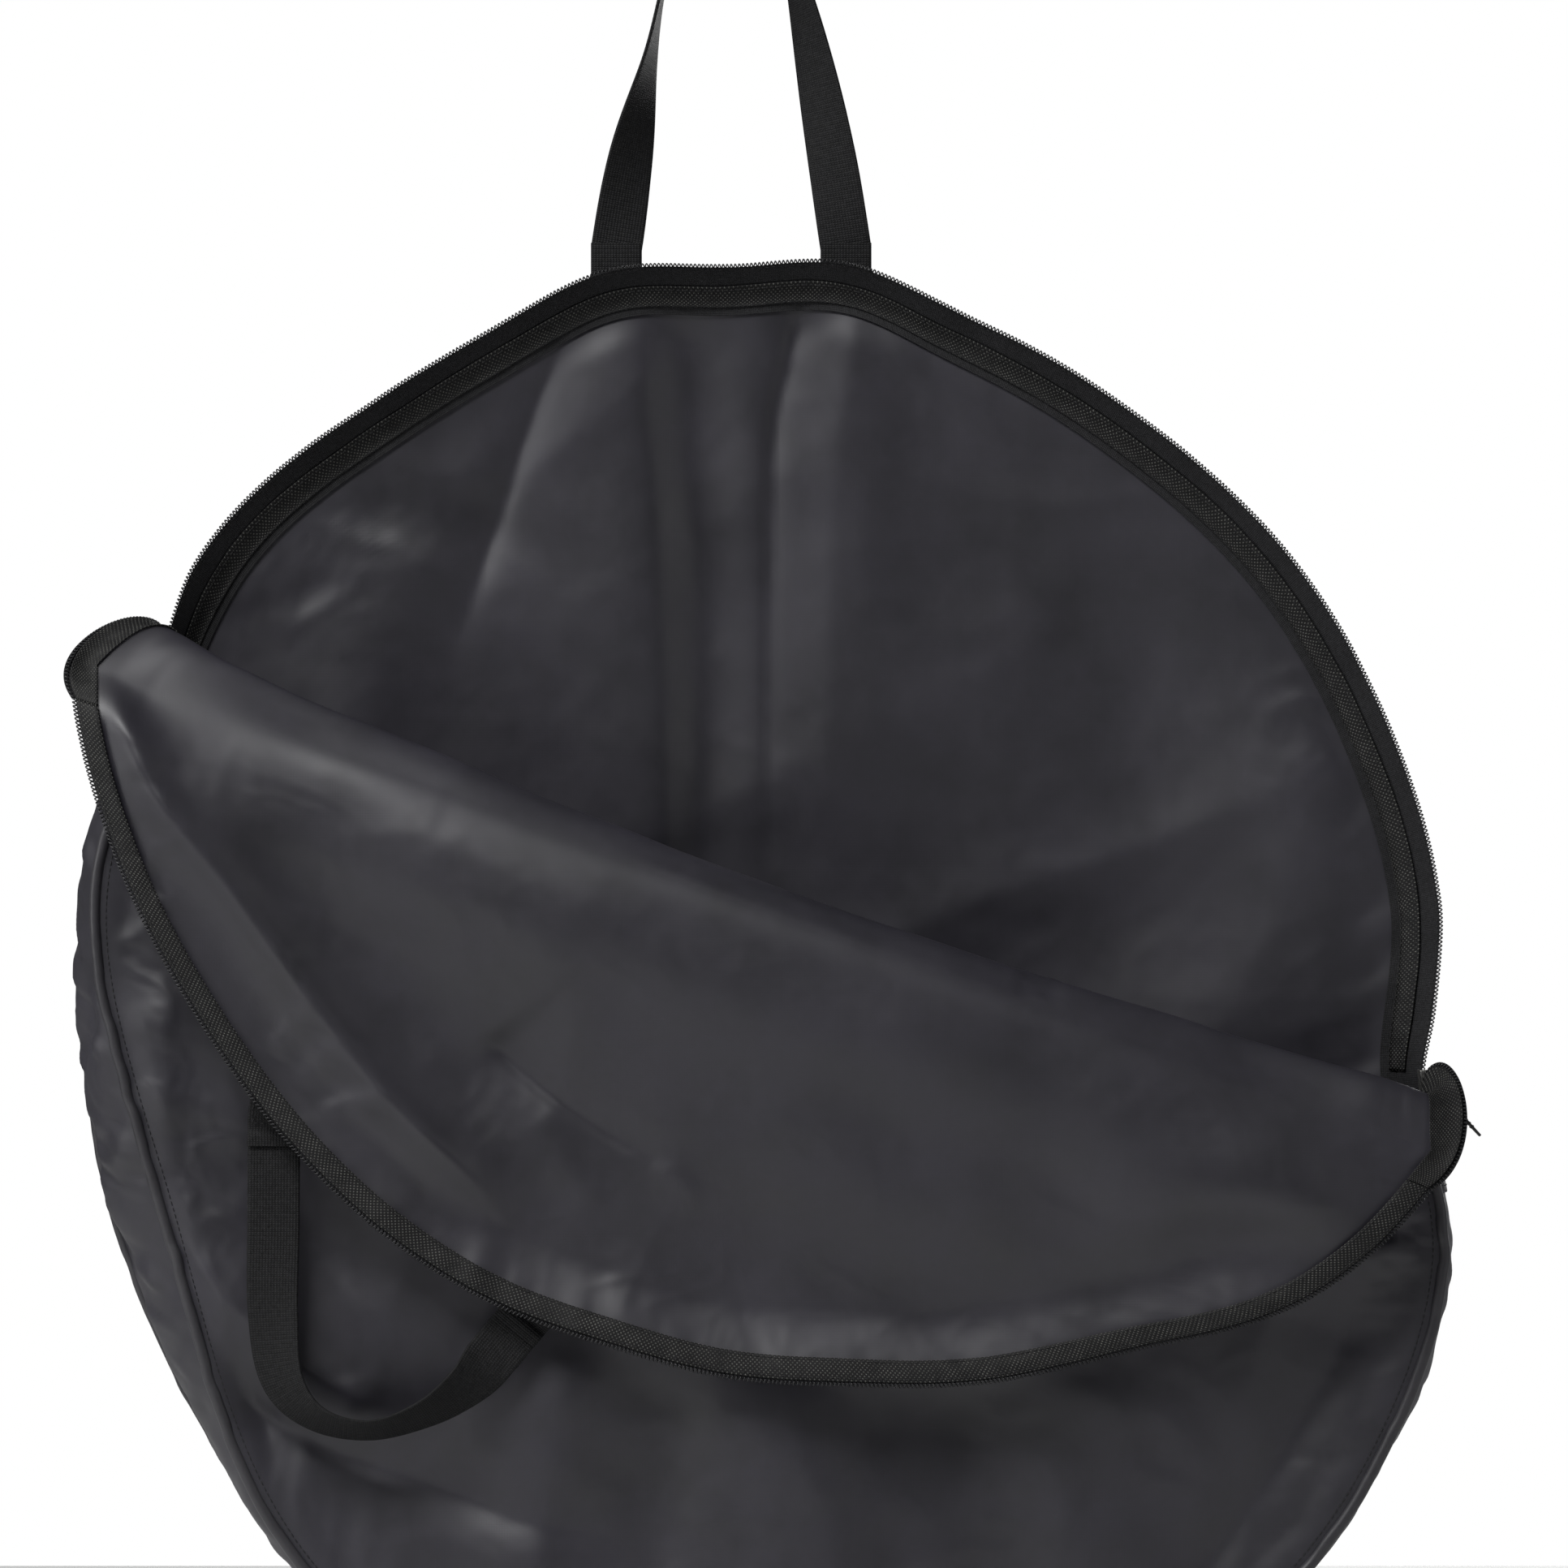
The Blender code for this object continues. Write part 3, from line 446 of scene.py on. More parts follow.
@dataclass(frozen=True)
class BagShape:
    """The bag's outline and depth, which every sub-assembly takes its places from."""

    centre: Triple = (0.020, -0.022, -0.640)
    body_radius: float = 0.380
    seam_shares: tuple[float, ...] = (
        0.918, 0.964, 0.992, 1.026, 1.053, 1.092, 1.121, 1.116,
        1.089, 1.079, 1.024, 1.013, 0.979, 0.958, 0.953, 0.966,
        0.979, 0.989, 0.989, 1.000, 1.016, 1.031, 1.018, 0.992,
    )
    strap_peak: float = 0.010
    strap_peak_angles: tuple[float, float] = (math.radians(84.5), math.radians(101.0))
    strap_peak_spread: float = math.radians(4.5)
    draw_in: float = 0.032
    draw_in_angle: float = math.radians(192.0)
    draw_in_spread: float = math.radians(18.0)
    rim_depth: float = 0.027
    gusset_bulge: float = 0.009
    back_crown: float = 0.020
    front_crown: float = 0.016
    piping_radius: float = 0.0032
    panel_inset: float = 0.0038
    cloth_inset: float = 0.0022
    zip_right: float = math.radians(2.0)
    zip_left: float = math.radians(142.0)
    stub_turn: float = math.radians(9.0)
    slider_right: float = math.radians(-0.5)
    slider_left: float = math.radians(144.5)
    zip_reach: float = 0.014
    flap_zip_least: float = 0.0046
    flap_zip_turn: float = math.radians(26.0)
    coil_depth: float = 0.010
    stub_reach: float = 0.0085
    slope: float = math.radians(19.9)
    fold_side: float = -0.002
    fold_rise: float = 0.094
    fold_half_length: float = 0.366
    roll_half_width: float = 0.019
    roll_taper_share: float = 0.26
    roll_rise_middle: float = 0.0136
    roll_rise_end: float = 0.0296
    flap_reach: float = 0.394
    flap_shares: tuple[float, ...] = (
        1.000, 0.883, 0.787, 0.723, 0.680, 0.650, 0.629,
        0.637, 0.657, 0.711, 0.784, 0.914, 1.000,
    )
    flap_end_turn: float = math.radians(3.0)
    flap_gap: float = 0.014
    flap_drop: float = 0.220
    blend_start: float = -0.0432
    blend_end: float = -0.0515

    @property
    def fold_left(self) -> float:
        """Angle of the fold's left end about the fold's middle."""
        return HALF_TURN - self.slope

    @property
    def gusset_span(self) -> tuple[float, float]:
        """Angles where the gusset starts and ends, past the zip's two ends."""
        return self.zip_left + self.stub_turn, self.zip_right - self.stub_turn + FULL_TURN

    def seam_radius(self, angle: Points) -> Points:
        """Distance from the body's centre to the back panel's seam."""
        spread = self.strap_peak_spread
        peaks = sum(hump(angle, middle, spread) for middle in self.strap_peak_angles)
        return self.body_radius * round_share(self.seam_shares, angle) + self.strap_peak * peaks

    def front_seam_radius(self, angle: Points) -> Points:
        """Distance from the body's centre to the front panel's seam."""
        drawn = self.draw_in * hump(angle, self.draw_in_angle, self.draw_in_spread)
        return self.seam_radius(angle) - drawn

    def between_seams(self, angle: Points, mix: Points) -> Points:
        """Distance from the body's centre to a place between the front and back seams."""
        return self.front_seam_radius(angle) * (1.0 - mix) + self.seam_radius(angle) * mix

    def stub_radius(self, angle: Points) -> Points:
        """Distance from the body's centre to the zip's closed stub."""
        return self.seam_radius(angle) + self.stub_reach

    def seam_share(self, side: Points, rise: Points, radius_at: Callable) -> Points:
        """How far places lie from the body's centre to a seam, as a share."""
        return np.hypot(side, rise) / radius_at(np.arctan2(rise, side))

    def back_depth(self, side: Points, rise: Points) -> Points:
        """Depth of the back panel's plain surface."""
        share = self.seam_share(side, rise, self.seam_radius)
        return self.rim_depth + self.back_crown * np.maximum(0.0, 1.0 - share * share)

    def front_depth(self, side: Points, rise: Points) -> Points:
        """Depth of the front panel's plain surface."""
        share = self.seam_share(side, rise, self.front_seam_radius)
        return -self.rim_depth - self.front_crown * np.maximum(0.0, 1.0 - share * share)

    def around_fold(self, radius: Points, angle: Points) -> tuple[Points, Points]:
        """X and Z of a polar place round the fold's middle."""
        return self.fold_side + radius * np.cos(angle), self.fold_rise + radius * np.sin(angle)

    def fold_place(self, side: Points, rise: Points) -> tuple[Points, Points]:
        """Where places lie along the fold, and how far below its base line."""
        off_side, off_rise = side - self.fold_side, rise - self.fold_rise
        cos, sin = math.cos(self.slope), math.sin(self.slope)
        return off_side * cos - off_rise * sin, -(off_side * sin + off_rise * cos)

    def half_roll(self, along: Points) -> Points:
        """Half the width of the fold's roll at a place along the fold."""
        share = np.minimum(np.abs(along) / self.fold_half_length, 1.0)
        return self.roll_half_width * (1.0 - self.roll_taper_share * share * share)

    def flap_depth(self, side: Points, rise: Points) -> Points:
        """Depth of the flap's plain surface."""
        along, below = self.fold_place(side, rise)
        lean = np.maximum(0.0, 1.0 - np.maximum(below, 0.0) / self.flap_drop)
        spare = 2.0 * self.half_roll(along) - self.flap_gap
        return self.front_depth(side, rise) - self.flap_gap - spare * lean * lean

    def flap_radius(self, angle: Points) -> Points:
        """Distance from the fold's middle to the outer edge of the flap's coil."""
        share = (np.mod(angle, FULL_TURN) - self.fold_left) / HALF_TURN
        return self.flap_reach * line_share(self.flap_shares, share)

    def flap_zip_reach(self, angle: Points) -> Points:
        """How far the flap's coil stands past its cloth, which is least away from the fold."""
        place = np.mod(angle, FULL_TURN) - self.fold_left
        away = np.minimum(place, HALF_TURN - place)
        ease = smooth(0.0, self.flap_zip_turn, away)
        return self.zip_reach + (self.flap_zip_least - self.zip_reach) * ease

    def flap_share(self, side: Points, rise: Points) -> Points:
        """How far places lie from the fold's middle to the flap's edge, as a share."""
        off_side, off_rise = side - self.fold_side, rise - self.fold_rise
        return np.hypot(off_side, off_rise) / self.flap_radius(np.arctan2(off_rise, off_side))

    def front_edge_radius(self, angle: Points) -> Points:
        """Distance from the fold's middle to the front panel's edge, found by halving."""
        low = np.zeros_like(angle)
        high = np.full_like(angle, 2.0 * self.body_radius)
        for _ in range(20):
            middle = (low + high) / 2.0
            side, rise = self.around_fold(middle, angle)
            edge = self.front_seam_radius(np.arctan2(rise, side)) - self.cloth_inset
            inside = np.hypot(side, rise) < edge
            low, high = np.where(inside, middle, low), np.where(inside, high, middle)
        return low

    def flap_edge_radius(self, angle: Points) -> Points:
        """Distance from the fold's middle to the flap's cloth edge."""
        return self.flap_radius(angle) - self.flap_zip_reach(angle)

    def to_frame(self, points: Points) -> Points:
        """Moves points of the bag's own frame to the shared frame."""
        return np.asarray(points, float) + np.asarray(self.centre)


SHAPE = BagShape()
SHARP = Profile.SHARP


def way(*places: int) -> tuple[tuple[float, float], ...]:
    """A fold's path, from X and Z of its points in turn, in millimetres."""
    return tuple((side / 1000.0, rise / 1000.0) for side, rise in zip(places[::2], places[1::2]))


def nothing(side: Points, rise: Points) -> Points:
    """A panel's body where it stays on its plain surface."""
    return np.zeros_like(side)


@dataclass(frozen=True)
class Band:
    """A band along the fold where the flap stands out, or sinks where it is below nothing."""

    height: float
    below: float
    reach: float

    def lift(self, below: Points) -> Points:
        """The band's lift at a distance below the fold."""
        return self.height * np.exp(-(((below - self.below) / self.reach) ** 2))


@dataclass(frozen=True)
class FlapSag:
    """The flap's own sag: it rolls over the fold, stands off below it and flares at its hem.

    It rolls less towards the fold's ends, so that the fold moves with the flap there.
    """

    roll: float = -0.0118
    roll_reach: float = 0.0125
    end_share: float = 0.70
    end_ease: float = 0.75
    belly: Band = Band(0.0065, 0.050, 0.032)
    waist: Band = Band(-0.0040, 0.170, 0.040)
    flare: float = 0.0120
    flare_share: float = 0.84
    flare_below: tuple[float, float] = (0.02, 0.12)

    def lift(self, side: Points, rise: Points) -> Points:
        """The sag's lift at each place."""
        along, below = SHAPE.fold_place(side, rise)
        below = np.maximum(below, 0.0)
        far = smooth(self.end_share, 1.0, np.abs(along) / SHAPE.fold_half_length)
        rolled = self.roll * (1.0 - self.end_ease * far) * np.exp(-below / self.roll_reach)
        hem = smooth(self.flare_share, 1.0, SHAPE.flap_share(side, rise))
        flared = self.flare * hem * smooth(*self.flare_below, below)
        return rolled + self.belly.lift(below) + self.waist.lift(below) + flared


def flap_held(side: Points, rise: Points) -> Points:
    """The flap's lifts fade out at the fold, where the roll takes over."""
    _, below = SHAPE.fold_place(side, rise)
    return smooth(-0.002, 0.030, below)


def back_held(side: Points, rise: Points) -> Points:
    """The back panel's lifts fade out at its sewn seam."""
    return 1.0 - smooth(0.93, 0.995, SHAPE.seam_share(side, rise, SHAPE.seam_radius))


def front_held(side: Points, rise: Points) -> Points:
    """The front panel's lifts fade out at its seam and at the fold."""
    share = SHAPE.seam_share(side, rise, SHAPE.front_seam_radius)
    _, below = SHAPE.fold_place(side, rise)
    return (1.0 - smooth(0.94, 0.995, share)) * smooth(-0.002, 0.040, below)


FLAP_DRAPE = Drape(
    SHAPE.flap_depth,
    FlapSag().lift,
    flap_held,
    (
        # The long edge where the cloth hangs from its left corner.
        Fold(way(-135, -80, -162, -46, -205, -2, -244, 48, -283, 102, -322, 152, -344, 200,
             -358, 236), 0.0225, 0.038, 0.030, 0.22, 0.06, SHARP),
        Fold(way(-118, -34, -160, 12, -205, 62, -255, 115, -300, 166), -0.0070, 0.030, 0.040,
             0.25, 0.35),
        Fold(way(-60, 60, -140, 100, -230, 150), 0.0030, 0.045, 0.045),
        # The tongue in the middle, with its soft left edge.
        Fold(way(-152, 30, -142, 18, -127, 4, -104, -14, -70, -34, -30, -50), -0.0075, 0.040,
             0.0150, 0.24, 0.50, SHARP),
        Fold(way(-120, -36, -102, -50, -84, -66), 0.0016, 0.009, 0.012),
        Fold(way(-60, -38, -46, -52, -36, -72), 0.0013, 0.007, 0.010),
        # The soft fold at the right with its pocket below.
        Fold(way(160, -80, 205, -64, 246, -58, 290, -60, 330, -50), 0.0080, 0.030, 0.020, 0.30,
             0.35),
        Fold(way(40, -50, 110, -14, 190, -15), -0.0030, 0.045, 0.045),
        Fold(way(-20, -30, 70, -62, 150, -75), 0.0030, 0.030, 0.030),
        Fold(way(322, -34, 336, -24, 348, -12), 0.0050, 0.009, 0.010, 0.4, 0.1),
        Fold(way(318, -18, 332, -12, 346, -2), -0.0040, 0.007, 0.008, 0.4, 0.1),
        Patch((0.338, -0.024), (0.020, 0.024), Crumple(0.014, 0.0045, 31)),
        Fold(way(-254, -2, -238, 12, -228, 26), 0.0018, 0.007, 0.010),
        Fold(way(-240, -17, -221, -10, -196, -6), 0.0022, 0.006, 0.010),
        Fold(way(-266, 16, -254, 29, -244, 46), 0.0022, 0.006, 0.009),
        Patch((-0.326, 0.125), (0.016, 0.055), Crumple(0.020, 0.0020, 33)),
        Pucker((SHAPE.fold_side, SHAPE.fold_rise), SHAPE.flap_radius,
               0.0016, 0.017, 0.032, 0.55, 5),
        Crumple(0.150, 0.0026, 3, octaves=2),
        Crumple(0.030, 0.0005, 14),
    ),
)
FRONT_DRAPE = Drape(
    SHAPE.front_depth,
    nothing,
    front_held,
    (
        # The long creases that start at the left seam.
        Fold(way(-318, -150, -277, -178, -225, -202, -132, -235, -60, -252), -0.0110, 0.044,
             0.028, 0.15, 0.30, SHARP),
        Fold(way(-350, -40, -314, -88, -278, -128, -232, -164, -180, -188), 0.0095, 0.022, 0.034,
             0.20, 0.35, SHARP),
        # Soft upright folds below the flap's hem.
        Fold(way(-135, -310, -120, -210, -104, -130), 0.0090, 0.030, 0.020),
        Fold(way(-70, -300, -60, -210, -50, -130), -0.0080, 0.026, 0.026),
        Fold(way(50, -330, 24, -225, -12, -120), 0.0110, 0.048, 0.026),
        Fold(way(135, -320, 112, -220, 80, -120), -0.0085, 0.036, 0.036),
        # The crease that follows the right seam.
        Fold(way(205, -300, 240, -256, 266, -220, 294, -176, 312, -132, 310, -90), -0.0110, 0.050,
             0.036, 0.20, 0.25, SHARP),
        Fold(way(130, -290, 165, -210, 190, -130), 0.0050, 0.036, 0.036),
        # The hollow that the hem leaves under it.
        Fold(way(-60, -150, 40, -172, 150, -170, 240, -140), -0.0050, 0.034, 0.050),
        Fold(way(-330, 62, -326, 5, -332, -60), 0.0055, 0.012, 0.020),
        Fold(way(-296, -20, -252, -66, -222, -130), -0.0060, 0.030, 0.030),
        # Crumples at the fold's two ends and down the left side.
        Patch((0.345, -0.078), (0.024, 0.024), Crumple(0.018, 0.0055, 41, stretch=0.6)),
        Patch((-0.330, 0.100), (0.030, 0.050), Crumple(0.026, 0.0035, 42)),
        Patch((-0.318, -0.030), (0.030, 0.060), Crumple(0.030, 0.0030, 43)),
        Pucker((0.0, 0.0), SHAPE.front_seam_radius, 0.0022, 0.015, 0.030, 0.8, 6),
        Crumple(0.120, 0.0034, 7),
        Crumple(0.032, 0.0006, 18),
    ),
)
BACK_DRAPE = Drape(
    SHAPE.back_depth,
    nothing,
    back_held,
    (
        # Long folds that fall from the two sewn ends of the handle.
        Fold(way(-62, 20, -62, 150, -66, 280, -78, 445), 0.0080, 0.050, 0.020, 0.45, 0.16,
             taper=0.5),
        Fold(way(-36, 20, -32, 160, -34, 300, -46, 435), -0.0080, 0.022, 0.026, 0.70, 0.03,
             taper=0.6),
        Fold(way(0, 30, 1, 200, 3, 345, 11, 390, 22, 436), -0.0060, 0.010, 0.016, 0.60, 0.04,
             SHARP, taper=0.5),
        Fold(way(36, 30, 38, 200, 44, 345, 58, 440), 0.0065, 0.022, 0.052, 0.45, 0.04),
        # A crease beside the left sewn end, and broad waves on both sides.
        Fold(way(-180, 210, -150, 300, -126, 370, -104, 430), -0.0065, 0.020, 0.014, 0.35, 0.06,
             SHARP),
        Fold(way(-250, 120, -215, 230, -180, 330), 0.0055, 0.034, 0.030),
        Fold(way(190, 20, 205, 150, 190, 320), -0.0050, 0.050, 0.050),
        Fold(way(285, -20, 300, 100, 280, 230), 0.0045, 0.040, 0.026),
        Fold(way(-100, -300, -60, -100, -70, 60), 0.0040, 0.036, 0.036),
        Fold(way(120, -300, 60, -100, 40, 60), -0.0040, 0.040, 0.040),
        Patch((-0.258, 0.285), (0.055, 0.042), Crumple(0.034, 0.0030, 51)),
        Patch((0.322, 0.200), (0.035, 0.040), Crumple(0.028, 0.0040, 52)),
        Pucker((0.0, 0.0), SHAPE.seam_radius, 0.0030, 0.018, 0.036, 0.3, 8),
        Crumple(0.150, 0.0034, 11, octaves=2),
        Crumple(0.036, 0.0005, 21),
    ),
)


def stack(side: Points, depth: Points, rise: Points) -> Points:
    """Points from their three places."""
    return np.stack(np.broadcast_arrays(side, depth, rise), axis=-1).astype(float)


def at_angle(radius: Points, angle: Points, depth: Points) -> Points:
    """Points from their polar place round the body's centre."""
    return stack(radius * np.cos(angle), depth, radius * np.sin(angle))


def at_flap(radius: Points, angle: Points, lift: float = 0.0) -> Points:
    """Points on the flap from their polar place round the fold's middle."""
    side, rise = SHAPE.around_fold(radius, angle)
    return stack(side, FLAP_DRAPE.face(side, rise) - lift, rise)


# --- Making and finishing meshes ---


def select_only(made: Piece) -> None:
    """Deselects everything and then picks one object."""
    bpy.ops.object.select_all(action="DESELECT")
    made.select_set(True)
    bpy.context.view_layer.objects.active = made


def edit(made: Piece, *steps: Callable[[], object]) -> None:
    """Runs edit-mode steps on the whole of one object.

    Args:
        made: The object to edit.
        steps: What to run, in order, with everything selected.
    """
    select_only(made)
    bpy.ops.object.mode_set(mode="EDIT")
    bpy.ops.mesh.select_all(action="SELECT")
    for step in steps:
        step()
    bpy.ops.object.mode_set(mode="OBJECT")


def apply_modifier(made: Piece, kind: str, **settings: object) -> None:
    """Adds a modifier to an object and applies it.

    Args:
        made: The object to change.
        kind: The modifier's type.
        settings: Its settings by name.
    """
    select_only(made)
    bpy.ops.object.modifier_add(type=kind)
    modifier = made.modifiers[-1]
    for name, value in settings.items():
        setattr(modifier, name, value)
    bpy.ops.object.modifier_apply(modifier=modifier.name)


def lay(
    name: str, columns: int, rows: int, surface: Surface, centre: Triple = SHAPE.centre
) -> Piece:
    """Lays a grid on a surface, with its UV map in metres of cloth.

    Args:
        name: The piece's name.
        columns: How many cells the grid has across.
        rows: How many it has along.
        surface: Gives points and cloth places from shares across and along.
        centre: Where the surface's own origin lies.

    Returns:
        The new piece.
    """
    bpy.ops.object.select_all(action="DESELECT")
    bpy.ops.mesh.primitive_grid_add(x_subdivisions=columns, y_subdivisions=rows, size=2.0)
    made = bpy.context.object
    made.name = made.data.name = name
    mesh = made.data
    flat = np.empty(3 * len(mesh.vertices))
    mesh.vertices.foreach_get("co", flat)
    flat = (flat.reshape(-1, 3) + 1.0) / 2.0
    points, cloth = surface(flat[:, 0], flat[:, 1])
    mesh.vertices.foreach_set("co", (points + np.asarray(centre)).ravel())
    corners = np.empty(len(mesh.loops), int)
    mesh.loops.foreach_get("vertex_index", corners)
    mesh.uv_layers.active.data.foreach_set("uv", cloth[corners].ravel())
    mesh.update()
    select_only(made)
    bpy.ops.object.shade_smooth()
    return made


def thicken(made: Piece, thickness: float) -> Piece:
    """Gives an open sheet an even thickness about its middle surface."""
    apply_modifier(made, "SOLIDIFY", thickness=thickness, offset=0.0, use_even_offset=True)
    bpy.ops.object.shade_smooth_by_angle(angle=math.radians(60.0))
    return made


def close_tube(made: Piece) -> Piece:
    """Joins a tube's long edges, closes its ends and turns its faces outwards."""
    edit(
        made,
        lambda: bpy.ops.mesh.remove_doubles(threshold=1e-7),
        lambda: bpy.ops.mesh.fill_holes(sides=200),
        lambda: bpy.ops.mesh.normals_make_consistent(inside=False),
    )
    return made


def join(name: str, parts: Sequence[Piece]) -> Piece:
    """Joins parts into one piece.

    Args:
        name: The piece's name.
        parts: The objects to join.

    Returns:
        The joined piece.
    """
    bpy.ops.object.select_all(action="DESELECT")
    for part in parts:
        part.select_set(True)
    bpy.context.view_layer.objects.active = parts[0]
    bpy.ops.object.join()
    parts[0].name = parts[0].data.name = name
    return parts[0]


def settle(
    made: Piece,
    look: Look,
    body: str | None,
    nodes: Sequence[str] = (),
) -> Piece:
    """Gives a finished piece its material, and the body and nodes it stands for.

    Args:
        made: The piece.
        look: Its material.
        body: The body that it rides on, or nothing where it stays unattached over the fold.
        nodes: The CAD nodes that it replaces.

    Returns:
        The piece.
    """
    made.data.materials.clear()
    made.data.materials.append(look)
    if body:
        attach(made, body)
    if nodes:
        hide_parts(*nodes)
    if not body:
        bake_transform(made)
    LOG.info("%s: %d faces on %s", made.name, len(made.data.polygons), body or "the fold")
    return made


@dataclass
class Rails:
    """Two lines that a narrow piece runs between, from its inner to its outer edge.

    Where a middle line is given, the piece bends through it.
    """

    inner: Points
    outer: Points
    middle: Points | None = None

    def __post_init__(self) -> None:
        """Measures the distance along the rails and their outward direction."""
        middle = (self.inner + self.outer) / 2.0
        steps = np.linalg.norm(np.diff(middle, axis=0), axis=1)
        self.distance = np.concatenate([[0.0], np.cumsum(np.maximum(steps, 1e-9))])
        run = np.gradient(middle, self.distance, axis=0)
        self.up = unit(np.cross(self.outer - self.inner, run))
        self.width = float(np.linalg.norm(self.outer - self.inner, axis=1).mean())
        self.bend = np.zeros_like(middle) if self.middle is None else self.middle - middle

    @classmethod
    def about(cls, middle: Points, across: Points, half: float) -> "Rails":
        """Rails at an even distance on both sides of a line."""
        offset = unit(across) * half
        return cls(middle - offset, middle + offset)

    @property
    def length(self) -> float:
        """How long the piece is."""
        return float(self.distance[-1])

    def place(self, along: Points, across: Points, height: Points) -> Points:
        """Reads points between the rails.

        Args:
            along: Shares of the length.
            across: Shares of the half width, from -1 at the inner rail to 1 at the outer.
            height: Distances above the surface between the rails.

        Returns:
            The points.
        """
        distance = np.asarray(along, float) * self.length
        tables = (self.inner, self.outer, self.up, self.bend)
        inner, outer, up, bend = (between(distance, self.distance, table) for table in tables)
        side = np.asarray(across, float)[..., None]
        flat = (inner * (1.0 - side) + outer * (1.0 + side)) / 2.0
        bent = flat + bend * np.maximum(0.0, 1.0 - side * side)
        return bent + up * np.asarray(height, float)[..., None]


def strip(
    name: str, rails: Rails, cell: float, thickness: float, relief: Relief | None = None,
    columns: int = 8,
) -> Piece:
    """A flat strip of cloth between two rails.

    Args:
        name: The piece's name.
        rails: The lines it runs between.
        cell: How long each cell of its grid is.
        thickness: How thick the cloth is.
        relief: Its height at a distance along and a share across.
        columns: How many cells it has across.

    Returns:
        The strip.
    """

    def surface(across: Points, along: Points) -> tuple[Points, Points]:
        """Places the strip's grid."""
        share = 2.0 * across - 1.0
        distance = along * rails.length
        height = relief(distance, share) if relief else np.zeros_like(share)
        cloth = np.stack([across * rails.width, distance], axis=-1)
        return rails.place(along, share, height), cloth

    rows = max(2, round(rails.length / cell))
    return thicken(lay(name, columns, rows, surface), thickness)


def sweep(
    name: str, rails: Rails, section: Points, cell: float, relief: Relief | None = None,
    centre: Triple = SHAPE.centre,
) -> Piece:
    """A closed band with one section all along two rails.

    Args:
        name: The piece's name.
        rails: The lines it runs between.
        section: Shares across and heights round the section, without its first point again.
        cell: How long each cell of its grid is.
        relief: What its height is multiplied by, at a distance along and a share across.
        centre: Where the rails' own origin lies.

    Returns:
        The band.
    """
    ring = np.concatenate([section, section[:1]])
    turns = np.linspace(0.0, 1.0, len(ring))

    def surface(turn: Points, along: Points) -> tuple[Points, Points]:
        """Places the band's grid."""
        across = np.interp(turn, turns, ring[:, 0])
        height = np.interp(turn, turns, ring[:, 1])
        distance = along * rails.length
        if relief:
            height = height * relief(distance, across)
        cloth = np.stack([(across + 1.0) / 2.0 * rails.width, distance], axis=-1)
        return rails.place(along, across, height), cloth

    rows = max(2, round(rails.length / cell))
    return close_tube(lay(name, len(section), rows, surface, centre))


def round_section(sides: int, height: float) -> Points:
    """A round or oval section between two rails."""
    turn = np.arange(sides) * FULL_TURN / sides
    return np.stack([np.cos(turn), height * np.sin(turn)], axis=-1)


def band_section(half: float, thickness: float, across: int, crown: float = 0.0) -> Points:
    """The section of a flat band with round edges.

    Args:
        half: Half the band's width.
        thickness: How thick it is.
        across: How many points each flat side has.
        crown: How far the middle of both sides stands out.

    Returns:
        Shares across and heights round the section.
    """
    edge = thickness / 2.0
    inner = (half - edge) / half
    turns = np.linspace(-HALF_TURN / 2.0, HALF_TURN / 2.0, 5)[1:-1]
    nose = np.stack([inner + edge / half * np.cos(turns), edge * np.sin(turns)], axis=-1)
    flat = np.linspace(inner, -inner, across)
    top = np.stack([flat, edge + crown * (1.0 - (flat / inner) ** 2)], axis=-1)
    return np.concatenate([top, -nose, -top, nose])


COIL_STEPS = 10
COIL_HEIGHT_SHARE = 0.62


def coil(name: str, rails: Rails, pitch: float, wire: float) -> Piece:
    """A wound zip coil: one thread that turns round between two rails.

    Args:
        name: The piece's name.
        rails: The inner and outer edge of the coil.
        pitch: The distance between its turns.
        wire: Half the thread's thickness.

    Returns:
        The coil.
    """
    turns = max(2, round(rails.length / pitch))
    count = COIL_STEPS * turns + 1
    phase = np.linspace(0.0, FULL_TURN * turns, count)
    along = np.linspace(0.0, 1.0, count)
    half = 1.0 - wire / (rails.width / 2.0)
    height = COIL_HEIGHT_SHARE * half * rails.width / 2.0 * np.sin(phase)
    line = rails.place(along, half * np.cos(phase), height)
    outward = line - rails.place(along, np.zeros(count), np.zeros(count))
    thread = Rails.about(line, outward, wire)
    return sweep(name, thread, round_section(5, wire), thread.length / (count - 1))


STITCH_LENGTH = 2.7 * MM
STITCH_GAP = 0.9 * MM
STITCH_HALF_SIZE = (0.32 * MM, 0.22 * MM, STITCH_LENGTH / 2.0)


